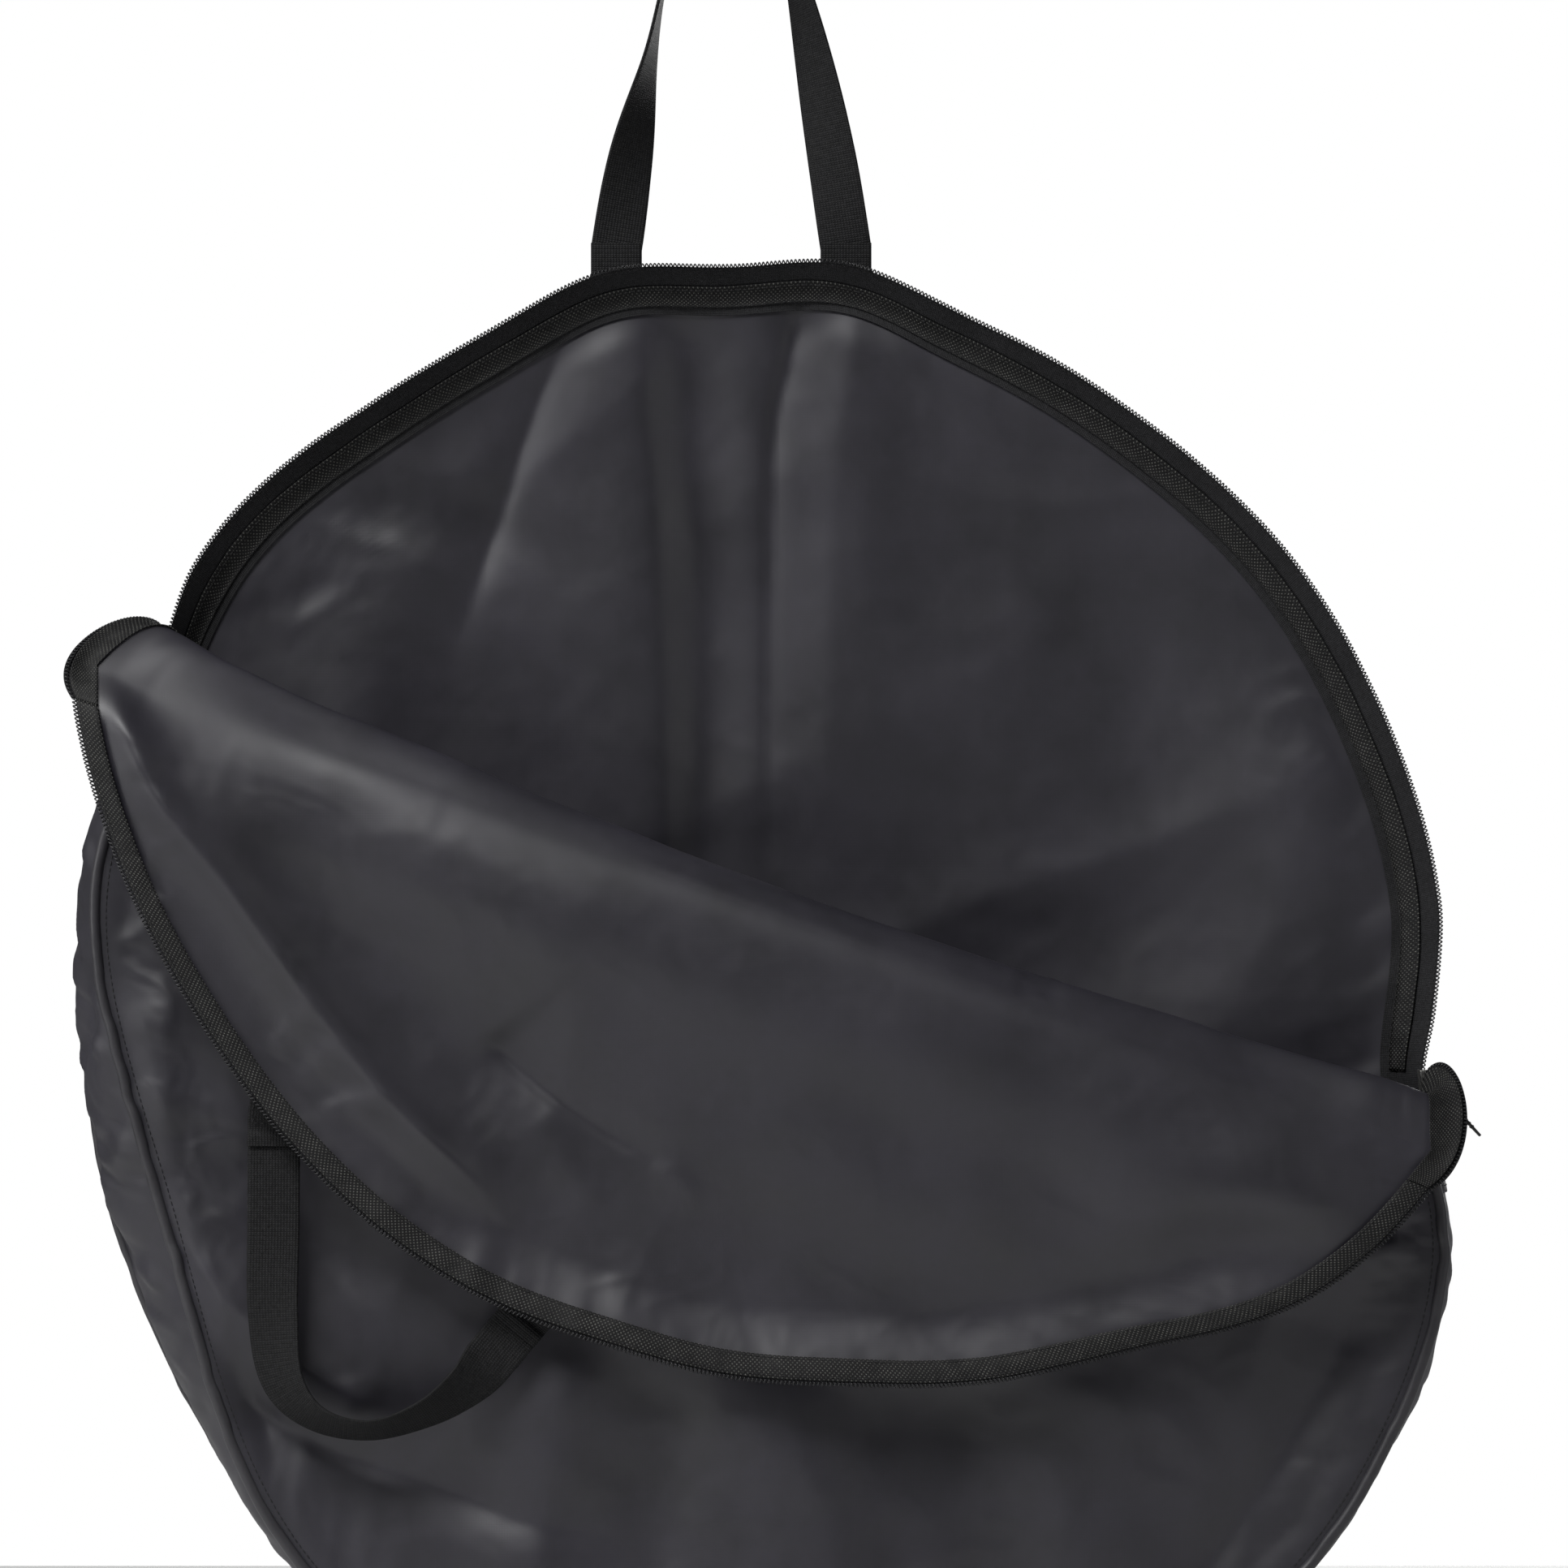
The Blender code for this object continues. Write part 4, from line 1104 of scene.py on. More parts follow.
def stitches(
    name: str, rails: Rails, across: Sequence[float], height: float
) -> Piece:
    """Rows of lock stitches along two rails, each a small bead of thread.

    Args:
        name: The piece's name.
        rails: The lines of the sewn piece.
        across: Where each row lies, as a share of the half width.
        height: How far the thread's middle stands above the surface.

    Returns:
        All rows as one piece.
    """
    bpy.ops.object.select_all(action="DESELECT")
    bpy.ops.mesh.primitive_uv_sphere_add(segments=6, ring_count=4, radius=1.0)
    made = bpy.context.object
    made.name = made.data.name = name
    bead = made.data
    corner = np.empty(3 * len(bead.vertices))
    bead.vertices.foreach_get("co", corner)
    corner = corner.reshape(-1, 3) * STITCH_HALF_SIZE
    faces = [tuple(face.vertices) for face in bead.polygons]
    count = max(2, int(rails.length / (STITCH_LENGTH + STITCH_GAP)))
    middles = (np.arange(count) + 0.5) / count
    step = STITCH_LENGTH / rails.length / 2.0
    rows = []
    for row in across:
        share, level = np.full(count, row), np.full(count, height)
        spot = rails.place(middles, share, level)
        ahead, behind = (rails.place(middles + way, share, level) for way in (step, -step))
        run = unit(ahead - behind)
        up = unit(spot - rails.place(middles, share, level - MM))
        side = np.cross(up, run)
        rows.append(
            spot[:, None]
            + corner[None, :, :1] * side[:, None]
            + corner[None, :, 1:2] * up[:, None]
            + corner[None, :, 2:] * run[:, None]
        )
    points = np.concatenate(rows).reshape(-1, 3)
    bases = range(0, len(points), len(corner))
    cells = [tuple(base + index for index in face) for base in bases for face in faces]
    bead.clear_geometry()
    bead.from_pydata(SHAPE.to_frame(points).tolist(), [], cells)
    edit(made, lambda: bpy.ops.mesh.normals_make_consistent(inside=False))
    bpy.ops.object.shade_smooth()
    return made


# --- Finishes ---


def linear(colour: str) -> tuple[float, float, float, float]:
    """Turns an sRGB hex colour to linear values."""
    parts = [int(colour[place : place + 2], 16) / 255.0 for place in (1, 3, 5)]
    return (*[p / 12.92 if p <= 0.04045 else ((p + 0.055) / 1.055) ** 2.4 for p in parts], 1.0)


WAVE_SPACING = 0.314  # a wave texture's scale times the spacing of its bands, in metres


def feed(tree: Tree, node: Node, inputs: dict) -> None:
    """Sets or links a node's inputs.

    Args:
        tree: The node's tree.
        node: The node.
        inputs: A value, an output, or a node whose first output feeds it, by name or number.
    """
    for name, value in inputs.items():
        if isinstance(value, Node):
            value = value.outputs[0]
        if isinstance(value, Socket):
            tree.links.new(value, node.inputs[name])
        else:
            node.inputs[name].default_value = value


def add_node(
    tree: Tree, kind: str, inputs: dict | None = None, **settings: object
) -> Node:
    """Adds a node with its settings and links.

    Args:
        tree: The material's nodes.
        kind: The node's type, without the prefix that all share.
        inputs: What its inputs are set to or fed by.
        settings: The node's own properties by name.

    Returns:
        The node.
    """
    node = tree.nodes.new("ShaderNode" + kind)
    for name, value in settings.items():
        setattr(node, name, value)
    feed(tree, node, inputs or {})
    return node


@dataclass(frozen=True)
class Finish:
    """What every finish shares: two colours, a roughness and a gloss."""

    name: str
    dark: str
    light: str
    roughness: float
    gloss: float

    def build(self) -> Look:
        """Makes the finish's material.

        Returns:
            The material.
        """
        made = bpy.data.materials.new(self.name)
        made.use_nodes = True
        tree = made.node_tree
        shader = tree.nodes["Principled BSDF"]
        feed(tree, shader, {"Roughness": self.roughness, "Specular IOR Level": self.gloss})
        feed(tree, shader, self.pattern(tree))
        return made

    def pattern(self, tree: Tree) -> dict:
        """What the finish's own pattern feeds into the shader; each finish has its own."""
        raise NotImplementedError

    def mixed(self, tree: Tree, share: Node) -> Socket:
        """The colour between dark and light at a share."""
        ends = {0: share, 6: linear(self.dark), 7: linear(self.light)}
        return add_node(tree, "Mix", ends, data_type="RGBA").outputs[2]

    def crossed(
        self, tree: Tree, place: Socket, across: float, along: float
    ) -> Node:
        """Adds two sets of threads that cross.

        Args:
            tree: The material's nodes.
            place: Where the pattern reads its places.
            across: The spacing of the threads that lie side by side across the cloth.
            along: The spacing of those that follow each other along it.

        Returns:
            The node with their height, which is 1 where two threads cross.
        """
        threads = [
            add_node(tree, "TexWave", {"Vector": place, "Scale": WAVE_SPACING / spacing},
                     wave_type="BANDS", bands_direction=axis)
            for axis, spacing in (("X", across), ("Y", along))
        ]
        return add_node(tree, "Math", {0: threads[0].outputs["Fac"], 1: threads[1].outputs["Fac"]},
                        operation="MULTIPLY")


@dataclass(frozen=True)
class CoatedPolyester(Finish):
    """Woven polyester with a polyurethane coating.

    The coating fills the weave, so the eye sees a satin sheet with soft highlights, faint
    cloudy tones, fine creases from packing and only a hint of the threads.
    """

    thread: float = 0.9 * MM  # real threads are 0.5 mm, too fine to show
    clouds: float = 14.0  # a metre, each about 70 mm wide
    scuffs: float = 160.0  # a metre, each about 6 mm wide
    packing: float = 22.0  # a metre, each about 45 mm wide
    creases: float = 0.5
    crease_depth: float = 0.8 * MM
    thread_depth: float = 0.12 * MM

    def pattern(self, tree: Tree) -> dict:
        """Cloudy tones, packing creases and the hint of a weave.

        Args:
            tree: The material's nodes.

        Returns:
            What feeds the shader.
        """
        place = add_node(tree, "TexCoord")
        solid = place.outputs["Object"]
        cloud = add_node(tree, "TexNoise", {
            "Vector": solid, "Scale": self.clouds, "Detail": 5.0, "Roughness": 0.6})
        scuff = add_node(tree, "TexNoise", {
            "Vector": solid, "Scale": self.scuffs, "Detail": 3.0, "Roughness": 0.7})
        tone = add_node(tree, "Math", {0: scuff, 1: 0.35, 2: cloud}, operation="MULTIPLY_ADD")
        spread = add_node(tree, "MapRange", {"Value": tone, "From Min": 0.45, "From Max": 0.90})
        rough = add_node(tree, "MapRange", {
            "Value": cloud, "From Min": 0.3, "From Max": 0.7,
            "To Min": self.roughness - 0.05, "To Max": self.roughness + 0.07})
        weave = self.crossed(tree, place.outputs["UV"], self.thread, self.thread)
        crease = add_node(tree, "TexNoise", {
            "Vector": solid, "Scale": self.packing, "Detail": 4.0, "Roughness": 0.55,
            "Distortion": 0.6}, noise_type="RIDGED_MULTIFRACTAL")
        folded = add_node(tree, "Bump", {
            "Strength": self.creases, "Distance": self.crease_depth, "Height": crease})
        woven = add_node(tree, "Bump", {
            "Strength": 0.12, "Distance": self.thread_depth, "Height": weave, "Normal": folded})
        return {"Base Color": self.mixed(tree, spread), "Roughness": rough, "Normal": woven}


@dataclass(frozen=True)
class WovenBand(Finish):
    """A band woven from matt polyester or polypropylene yarn.

    The ribs across it catch the light one by one, shown as a painted highlight on each rib crest,
    and single yarns are paler than others, so the eye sees a fine grain that runs with the band.
    """

    rib: float = 1.2 * MM
    cord: float = 1.6 * MM
    depth: float = 0.35 * MM
    fleck: float = 0.5

    def pattern(self, tree: Tree) -> dict:
        """Ribs in long columns with painted highlights on their crests, and paler yarns.

        Args:
            tree: The material's nodes.

        Returns:
            What feeds the shader.
        """
        cloth = add_node(tree, "TexCoord").outputs["UV"]
        ribs = self.crossed(tree, cloth, self.cord, self.rib)
        yarn = add_node(tree, "TexVoronoi", {"Vector": cloth, "Scale": 0.8 / self.rib})
        split = add_node(tree, "SeparateColor", {"Color": yarn.outputs["Color"]})
        # The rib heights are added to the random yarn tone, so the rib crests are painted lighter
        # as a painted highlight.
        fleck = add_node(tree, "Math", {0: split, 1: self.fleck, 2: ribs}, operation="MULTIPLY_ADD")
        share = add_node(tree, "MapRange", {"Value": fleck, "From Min": 0.1, "From Max": 1.2})
        bump = add_node(tree, "Bump", {"Strength": 0.8, "Distance": self.depth, "Height": ribs})
        return {"Base Color": self.mixed(tree, share), "Normal": bump}


@dataclass(frozen=True)
class MeshBinding(Finish):
    """A woven binding tape with an open diagonal mesh of shiny yarn.

    Each crossing of the yarns stands up and catches the light above a dark hole. The colour
    paints this in: a painted highlight on each crossing and painted shade in each hole, so the
    eye sees a fine regular net of paler dots.
    """

    cell: float = 1.7 * MM  # real cells are 1 mm, too fine to show
    # width of the patches over which the painted highlights on the crossings grow stronger or
    # weaker
    glint_patch: float = 7.0 * MM
    knot: float = 2.4
    depth: float = 0.4 * MM

    def pattern(self, tree: Tree) -> dict:
        """The diagonal net, with painted highlights on its crossings, stronger in some patches.

        Args:
            tree: The material's nodes.

        Returns:
            What feeds the shader.
        """
        place = add_node(tree, "TexCoord")
        turned = add_node(tree, "Mapping", {
            "Vector": place.outputs["UV"], "Rotation": (0.0, 0.0, HALF_TURN / 4.0)})
        net = self.crossed(tree, turned.outputs[0], self.cell, self.cell)
        knots = add_node(tree, "Math", {0: net, 1: self.knot}, operation="POWER")
        cloud = add_node(tree, "TexNoise", {
            "Vector": place.outputs["Object"], "Scale": 1.0 / self.glint_patch, "Detail": 5.0,
            "Roughness": 0.75})
        uneven_glint = add_node(tree, "MapRange", {
            "Value": cloud, "From Min": 0.30, "From Max": 0.70, "To Min": 0.15, "To Max": 1.15})
        # The colour is the painted highlight on the crossings, made uneven in patches; the holes
        # stay dark as painted shade.
        share = add_node(tree, "Math", {0: knots, 1: uneven_glint}, operation="MULTIPLY")
        bump = add_node(tree, "Bump", {"Strength": 0.9, "Distance": self.depth, "Height": knots})
        return {"Base Color": self.mixed(tree, share), "Normal": bump}


@dataclass(frozen=True)
class MouldedPlastic(Finish):
    """Black nylon or acetal, moulded or drawn, with a faint grain in its gloss."""

    grain: float = 0.6 * MM
    depth: float = 0.1 * MM

    def pattern(self, tree: Tree) -> dict:
        """A fine grain in colour, gloss and height.

        Args:
            tree: The material's nodes.

        Returns:
            What feeds the shader.
        """
        place = add_node(tree, "TexCoord").outputs["Object"]
        noise = add_node(tree, "TexNoise", {
            "Vector": place, "Scale": 1.0 / self.grain, "Detail": 2.0})
        rough = add_node(tree, "MapRange", {
            "Value": noise, "To Min": self.roughness - 0.08, "To Max": self.roughness + 0.10})
        bump = add_node(tree, "Bump", {"Strength": 0.25, "Distance": self.depth, "Height": noise})
        return {"Base Color": self.mixed(tree, noise), "Roughness": rough, "Normal": bump}


@dataclass(frozen=True)
class PlatedZinc(Finish):
    """Die-cast zinc with nickel plating, rubbed dull where the pull knocks against it.

    The cast skin under the plating is a little uneven, so its highlights waver.
    """

    patches: float = 420.0  # a metre, each about 2.4 mm wide
    depth: float = 0.15 * MM

    def pattern(self, tree: Tree) -> dict:
        """Rubbed patches and a wavering cast skin.

        Args:
            tree: The material's nodes.

        Returns:
            What feeds the shader, and that it is metal.
        """
        place = add_node(tree, "TexCoord").outputs["Object"]
        rubbed = add_node(tree, "TexNoise", {
            "Vector": place, "Scale": self.patches, "Detail": 5.0, "Roughness": 0.65})
        rough = add_node(tree, "MapRange", {
            "Value": rubbed, "From Min": 0.3, "From Max": 0.7,
            "To Min": self.roughness - 0.08, "To Max": self.roughness + 0.14})
        bump = add_node(tree, "Bump", {"Strength": 0.3, "Distance": self.depth, "Height": rubbed})
        return {
            "Base Color": self.mixed(tree, rubbed), "Metallic": 1.0, "Roughness": rough,
            "Normal": bump,
        }


class Wardrobe:
    """The bag's materials, each made once."""

    def __init__(self) -> None:
        """Makes every material, from its name, dark and light colour, roughness and gloss."""
        self.outer = CoatedPolyester(
            "coated_polyester_outer", "#1b1a20", "#26242d", 0.52, 0.60).build()
        self.inner = CoatedPolyester(
            "coated_polyester_inner", "#1b1a20", "#25232c", 0.50, 0.66).build()
        # The piping is the same coated cloth painted lighter than the panels: its lighter colours
        # are a painted highlight along the round cord.
        self.piping = CoatedPolyester(
            "coated_polyester_piping", "#252428", "#333236", 0.48, 0.50, creases=0.8).build()
        self.webbing = WovenBand(
            "woven_polypropylene_webbing", "#0e0e0f", "#232324", 0.66, 0.18).build()
        self.tape = WovenBand(
            "woven_zip_tape", "#171718", "#2b2b2d", 0.70, 0.20, rib=1.0 * MM, cord=1.0 * MM,
            depth=0.2 * MM).build()
        self.thread = WovenBand(
            "spun_polyester_thread", "#1c1c1d", "#3c3c3d", 0.70, 0.25, rib=0.7 * MM,
            cord=0.7 * MM).build()
        # The binding's light colour is the painted highlight on its mesh crossings; the tape itself
        # is black.
        self.binding = MeshBinding("mesh_binding_tape", "#0e0e0f", "#74746f", 0.62, 0.25).build()
        self.coil = MouldedPlastic("drawn_nylon_coil", "#141415", "#262628", 0.36, 0.45).build()
        self.pull = MouldedPlastic("moulded_acetal_pull", "#151516", "#222223", 0.48, 0.45).build()
        self.metal = PlatedZinc("nickel_plated_zinc", "#a8a7a3", "#cfcec9", 0.28, 0.5).build()


# --- Sub-assemblies ---


@dataclass
class BackPanel:
    """The whole round back of the bag, seen from inside above the fold."""

    wardrobe: Wardrobe
    cells: int = 200
    cut: tuple[float, float] = (0.83, 0.83)
    cut_area: float = 0.475

    def surface(self, across: Points, up: Points) -> tuple[Points, Points]:
        """Rounds a square grid to the panel's outline and sinks it to its depth.

        Args:
            across: Shares of the grid's width.
            up: Shares of its height.

        Returns:
            The points and their places on the cloth.
        """
        flat_side, flat_rise = rounded(2.0 * across - 1.0, 2.0 * up - 1.0)
        angle = np.arctan2(flat_rise, flat_side)
        share = np.minimum(np.hypot(flat_side, flat_rise), 1.0)
        radius = share * (SHAPE.seam_radius(angle) - SHAPE.cloth_inset)
        side, rise = radius * np.cos(angle), radius * np.sin(angle)
        points = stack(side, BACK_DRAPE.face(side, rise), rise)
        return points, np.stack([side, rise], axis=-1)

    def build(self) -> None:
        """Makes the panel."""
        made = thicken(lay("cloth_back", self.cells, self.cells, self.surface), CLOTH_THICKNESS)
        settle(made, self.wardrobe.inner, "bag", ["back_panel"])


@dataclass
class FoldedFront:
    """The front of the bag: the lower panel, the roll of the fold and the flap over it."""

    wardrobe: Wardrobe
    columns: int = 230
    rows: int = 150
    roll_rows: int = 44
    pinch: float = 0.009
    pinch_share: float = 0.86
    peak_share: float = 0.75
    slope_step: float = 0.002
    ripple: float = 0.0016
    ripple_length: float = 0.045
    nick: float = 0.0014
    nick_place: float = 0.152
    nick_reach: float = 0.020
    nick_length: float = 0.008
    roll_cloth: float = 0.075
    front_cut: tuple[float, float] = (0.76, 0.50)
    front_area: float = 0.290
    flap_cut: tuple[float, float] = (0.76, 0.30)
    flap_area: float = 0.144

    def fan(self, radius_at: Callable, face: Depth) -> Surface:
        """A surface that rounds a grid to a half disc below the fold.

        Args:
            radius_at: Distance from the fold's middle to the edge at an angle.
            face: The panel's depth at its places.

        Returns:
            The surface, whose top row lies on the fold's base line.
        """

        def surface(across: Points, up: Points) -> tuple[Points, Points]:
            """Places the panel's grid."""
            flat_side, flat_rise = rounded(2.0 * across - 1.0, up - 1.0)
            turn = np.mod(np.arctan2(flat_rise, flat_side), FULL_TURN)
            top_turn = np.where(flat_side < 0.0, HALF_TURN, FULL_TURN)
            angle = np.where(flat_rise > -1e-9, top_turn, turn) - SHAPE.slope
            share = np.minimum(np.hypot(flat_side, flat_rise), 1.0)
            side, rise = SHAPE.around_fold(share * radius_at(angle), angle)
            return stack(side, face(side, rise), rise), np.stack([side, rise], axis=-1)

        return surface

    def roll_surface(self, across: Points, up: Points) -> tuple[Points, Points]:
        """Carries the front panel's top edge over the fold to the flap's top edge.

        Args:
            across: Shares of the fold's length.
            up: Shares of the way over it, from the panel to the flap.

        Returns:
            The points and their places on the cloth.
        """
        first = 2.0 * across - 1.0
        ends = np.array([SHAPE.fold_left, SHAPE.fold_left + HALF_TURN])
        share = (1.0 - np.cos(HALF_TURN * up)) / 4.0 + up / 2.0
        cos, sin = math.cos(SHAPE.slope), math.sin(SHAPE.slope)
        step = self.slope_step
        edges = []
        for reach, face in (
            (SHAPE.front_edge_radius(ends), FRONT_DRAPE.face),
            (SHAPE.flap_edge_radius(ends), FLAP_DRAPE.face),
        ):
            along = np.where(first < 0.0, first * reach[0], first * reach[1])
            side = SHAPE.fold_side + along * cos
            rise = SHAPE.fold_rise - along * sin
            base = face(side, rise)
            slant = (base - face(side - step * sin, rise - step * cos)) / step
            edges.append((stack(side, base, rise), stack(sin, slant, cos), along))
        (start, start_up, start_along), (end, end_up, end_along) = edges
        along = (start_along + end_along) / 2.0
        far = np.minimum(np.abs(along) / SHAPE.fold_half_length, 1.0) ** 2
        peak = SHAPE.roll_rise_middle + (SHAPE.roll_rise_end - SHAPE.roll_rise_middle) * far
        handle = (peak / self.peak_share)[:, None]
        points = bezier(start, start + start_up * handle, end + end_up * handle, end, share)
        soft = smooth(0.0, 0.25, up) * smooth(0.0, 0.25, 1.0 - up)
        ripple = self.ripple * value_noise(along / self.ripple_length, up * 1.3, 61)
        near = np.exp(-(((along - self.nick_place) / self.nick_reach) ** 2))
        nick = self.nick * near * value_noise(along / self.nick_length, up * 3.0, 62)
        points[:, 2] += (ripple + nick) * soft
        pinch = self.pinch * smooth(self.pinch_share, 1.0, np.abs(first)) * np.sin(HALF_TURN * up)
        points[:, 0] -= np.sign(first) * pinch
        return points, np.stack([along, SHAPE.fold_rise + up * self.roll_cloth], axis=-1)

    def build(self) -> None:
        """Makes the lower panel, the roll and the flap."""
        fan = self.fan(SHAPE.front_edge_radius, FRONT_DRAPE.face)
        front = thicken(lay("cloth_front", self.columns, self.rows, fan), CLOTH_THICKNESS)
        settle(front, self.wardrobe.outer, "bag", ["front_panel"])
        fan = self.fan(SHAPE.flap_edge_radius, FLAP_DRAPE.face)
        flap = thicken(lay("cloth_flap", self.columns, self.rows, fan), CLOTH_THICKNESS)
        settle(flap, self.wardrobe.inner, "flap", ["front_flap"])
        roll = lay("cloth_fold", self.columns, self.roll_rows, self.roll_surface)
        roll = thicken(roll, CLOTH_THICKNESS)
        settle(roll, self.wardrobe.inner, None, ["fold_roll"])


@dataclass
class Gusset:
    """The strip round the lower half that joins the panels, with its hems and piping."""

    wardrobe: Wardrobe
    samples: int = 900
    rows: int = 26
    cell: float = 0.0026
    width: float = 0.060
    cut_length: float = 1.37
    seam_play: float = 0.001
    fine: float = 0.0020
    broad: float = 0.0048
    lean: float = 0.0028
    shoulder: float = math.radians(182.0)
    shoulder_spread: float = math.radians(16.0)
    hem_width: float = 0.016
    hem_thickness: float = 0.0016
    hem_rise: float = 0.0010
    hem_crown: float = 0.3 * MM
    hem_cell: float = 1.5 * MM
    hem_rows: tuple[float, float] = (-0.7, 0.55)
    hem_thread_rise: float = 1.1 * MM
    hem_reads: int = 60
    piping_wave: float = 0.0006
    piping_cell: float = 0.0024
    piping_sides: int = 12
    piping_uneven: float = 0.07
    piping_uneven_length: float = 0.004
    thread_inset: float = 0.0022
    thread_half: float = 0.001

    def row(self, angle: Points, share: Points) -> Points:
        """Points of the gusset at an angle and a share from its front to its back edge.

        Args:
            angle: Places round the body.
            share: Shares across, from -1 at the front seam to 1 at the back seam.

        Returns:
            The points.
        """
        seam = SHAPE.between_seams(angle, (share + 1.0) / 2.0)
        slack = 0.75 + 0.25 * value_noise(angle * 9.0, angle * 0.0, 71)
        radius = seam + SHAPE.gusset_bulge * slack * (1.0 - share * share)
        fine = value_noise(angle * 42.0 + share * 1.5, share * 1.2, 72)
        broad = value_noise(angle * 14.0 - share * 0.8, share * 0.9, 73)
        shoulder = 0.35 + 0.65 * hump(angle, self.shoulder, self.shoulder_spread)
        ease = (1.0 - share**4) * shoulder
        radius = radius + ease * (self.fine * fine + self.broad * broad)
        lean = self.lean * ease * value_noise(angle * 20.0, share * 1.5 + 7.0, 74)
        return at_angle(radius, angle, share * (SHAPE.rim_depth - self.seam_play) + lean)

    def surface(self, across: Points, along: Points) -> tuple[Points, Points]:
        """Places the gusset's grid.

        Args:
            across: Shares of its width.
            along: Shares of its length.

        Returns:
            The points and their places on the cloth.
        """
        first, last = SHAPE.gusset_span
        length = (last - first) * SHAPE.body_radius
        cloth = np.stack([across * self.width, along * length], axis=-1)
        return self.row(first + (last - first) * along, 2.0 * across - 1.0), cloth

    def hem(self, end: End) -> None:
        """Makes the turned and stitched hem at one upper end of the gusset.

        Args:
            end: Which end of the zip it lies at.
        """
        edge = SHAPE.gusset_span[0] if end is End.LEFT else SHAPE.gusset_span[1]
        turn = -end.towards * self.hem_width / SHAPE.body_radius
        share = np.linspace(-1.0, 1.0, self.hem_reads)
        places = (np.full(self.hem_reads, angle) for angle in (edge, edge + turn))
        low, high = (self.row(place, share) for place in places)
        outward = unit(low * (1.0, 0.0, 1.0)) * self.hem_rise
        rails = Rails(high + outward, low + outward)
        if float((rails.up * outward).sum()) < 0.0:
            rails = Rails(low + outward, high + outward)
        section = band_section(self.hem_width / 2.0, self.hem_thickness, 7, self.hem_crown)
        hem = sweep(f"hem_{end.value}", rails, section, self.hem_cell)
        settle(hem, self.wardrobe.outer, "bag", [f"gusset_hem_{end.value}"])
        thread = stitches(
            f"hem_thread_{end.value}", rails, self.hem_rows, self.hem_thread_rise)
        settle(thread, self.wardrobe.thread, "bag")

    def piping(self, name: str, radius_at: Callable, face: Depth, side: float) -> None:
        """Makes the corded piping in one seam, with the thread line beside it.

        Args:
            name: Which seam it is.
            radius_at: Distance from the body's centre to the seam.
            face: The depth of the panel it borders.
            side: Minus one at the front and one at the back.
        """
        angle = np.linspace(*SHAPE.gusset_span, self.samples)
        wave = self.piping_wave * value_noise(angle * 30.0, angle * 0.0, 81)
        line = at_angle(radius_at(angle) + wave, angle, side * SHAPE.rim_depth + wave)
        outward = at_angle(np.ones_like(angle), angle, 0.0)
        rails = Rails.about(line, outward, SHAPE.piping_radius)

        def uneven(distance: Points, across: Points) -> Points:
            """The cord is a little thicker in some places than in others."""
            noise = value_noise(distance / self.piping_uneven_length, across, 82)
            return 1.0 + self.piping_uneven * noise

        section = round_section(self.piping_sides, SHAPE.piping_radius)
        piece = sweep(f"cord_piping_{name}", rails, section, self.piping_cell, uneven)
        settle(piece, self.wardrobe.piping, "bag", [f"piping_{name}"])
        inside = radius_at(angle) - SHAPE.panel_inset - self.thread_inset
        depth = face(inside * np.cos(angle), inside * np.sin(angle)) + side * CLOTH_THICKNESS
        seam = Rails.about(at_angle(inside, angle, depth), outward, self.thread_half)
        thread = stitches(f"piping_thread_{name}", seam, (0.0,), 0.0)
        settle(thread, self.wardrobe.thread, "bag")

    def build(self) -> None:
        """Makes the gusset, its hems and its piping."""
        first, last = SHAPE.gusset_span
        columns = round(SHAPE.body_radius * (last - first) / self.cell)
        made = thicken(lay("cloth_gusset", self.rows, columns, self.surface), CLOTH_THICKNESS)
        settle(made, self.wardrobe.outer, "bag", ["gusset"])
        self.hem(End.LEFT)
        self.hem(End.RIGHT)
        self.piping("front", SHAPE.front_seam_radius, FRONT_DRAPE.face, -1.0)
        self.piping("back", SHAPE.seam_radius, BACK_DRAPE.face, 1.0)


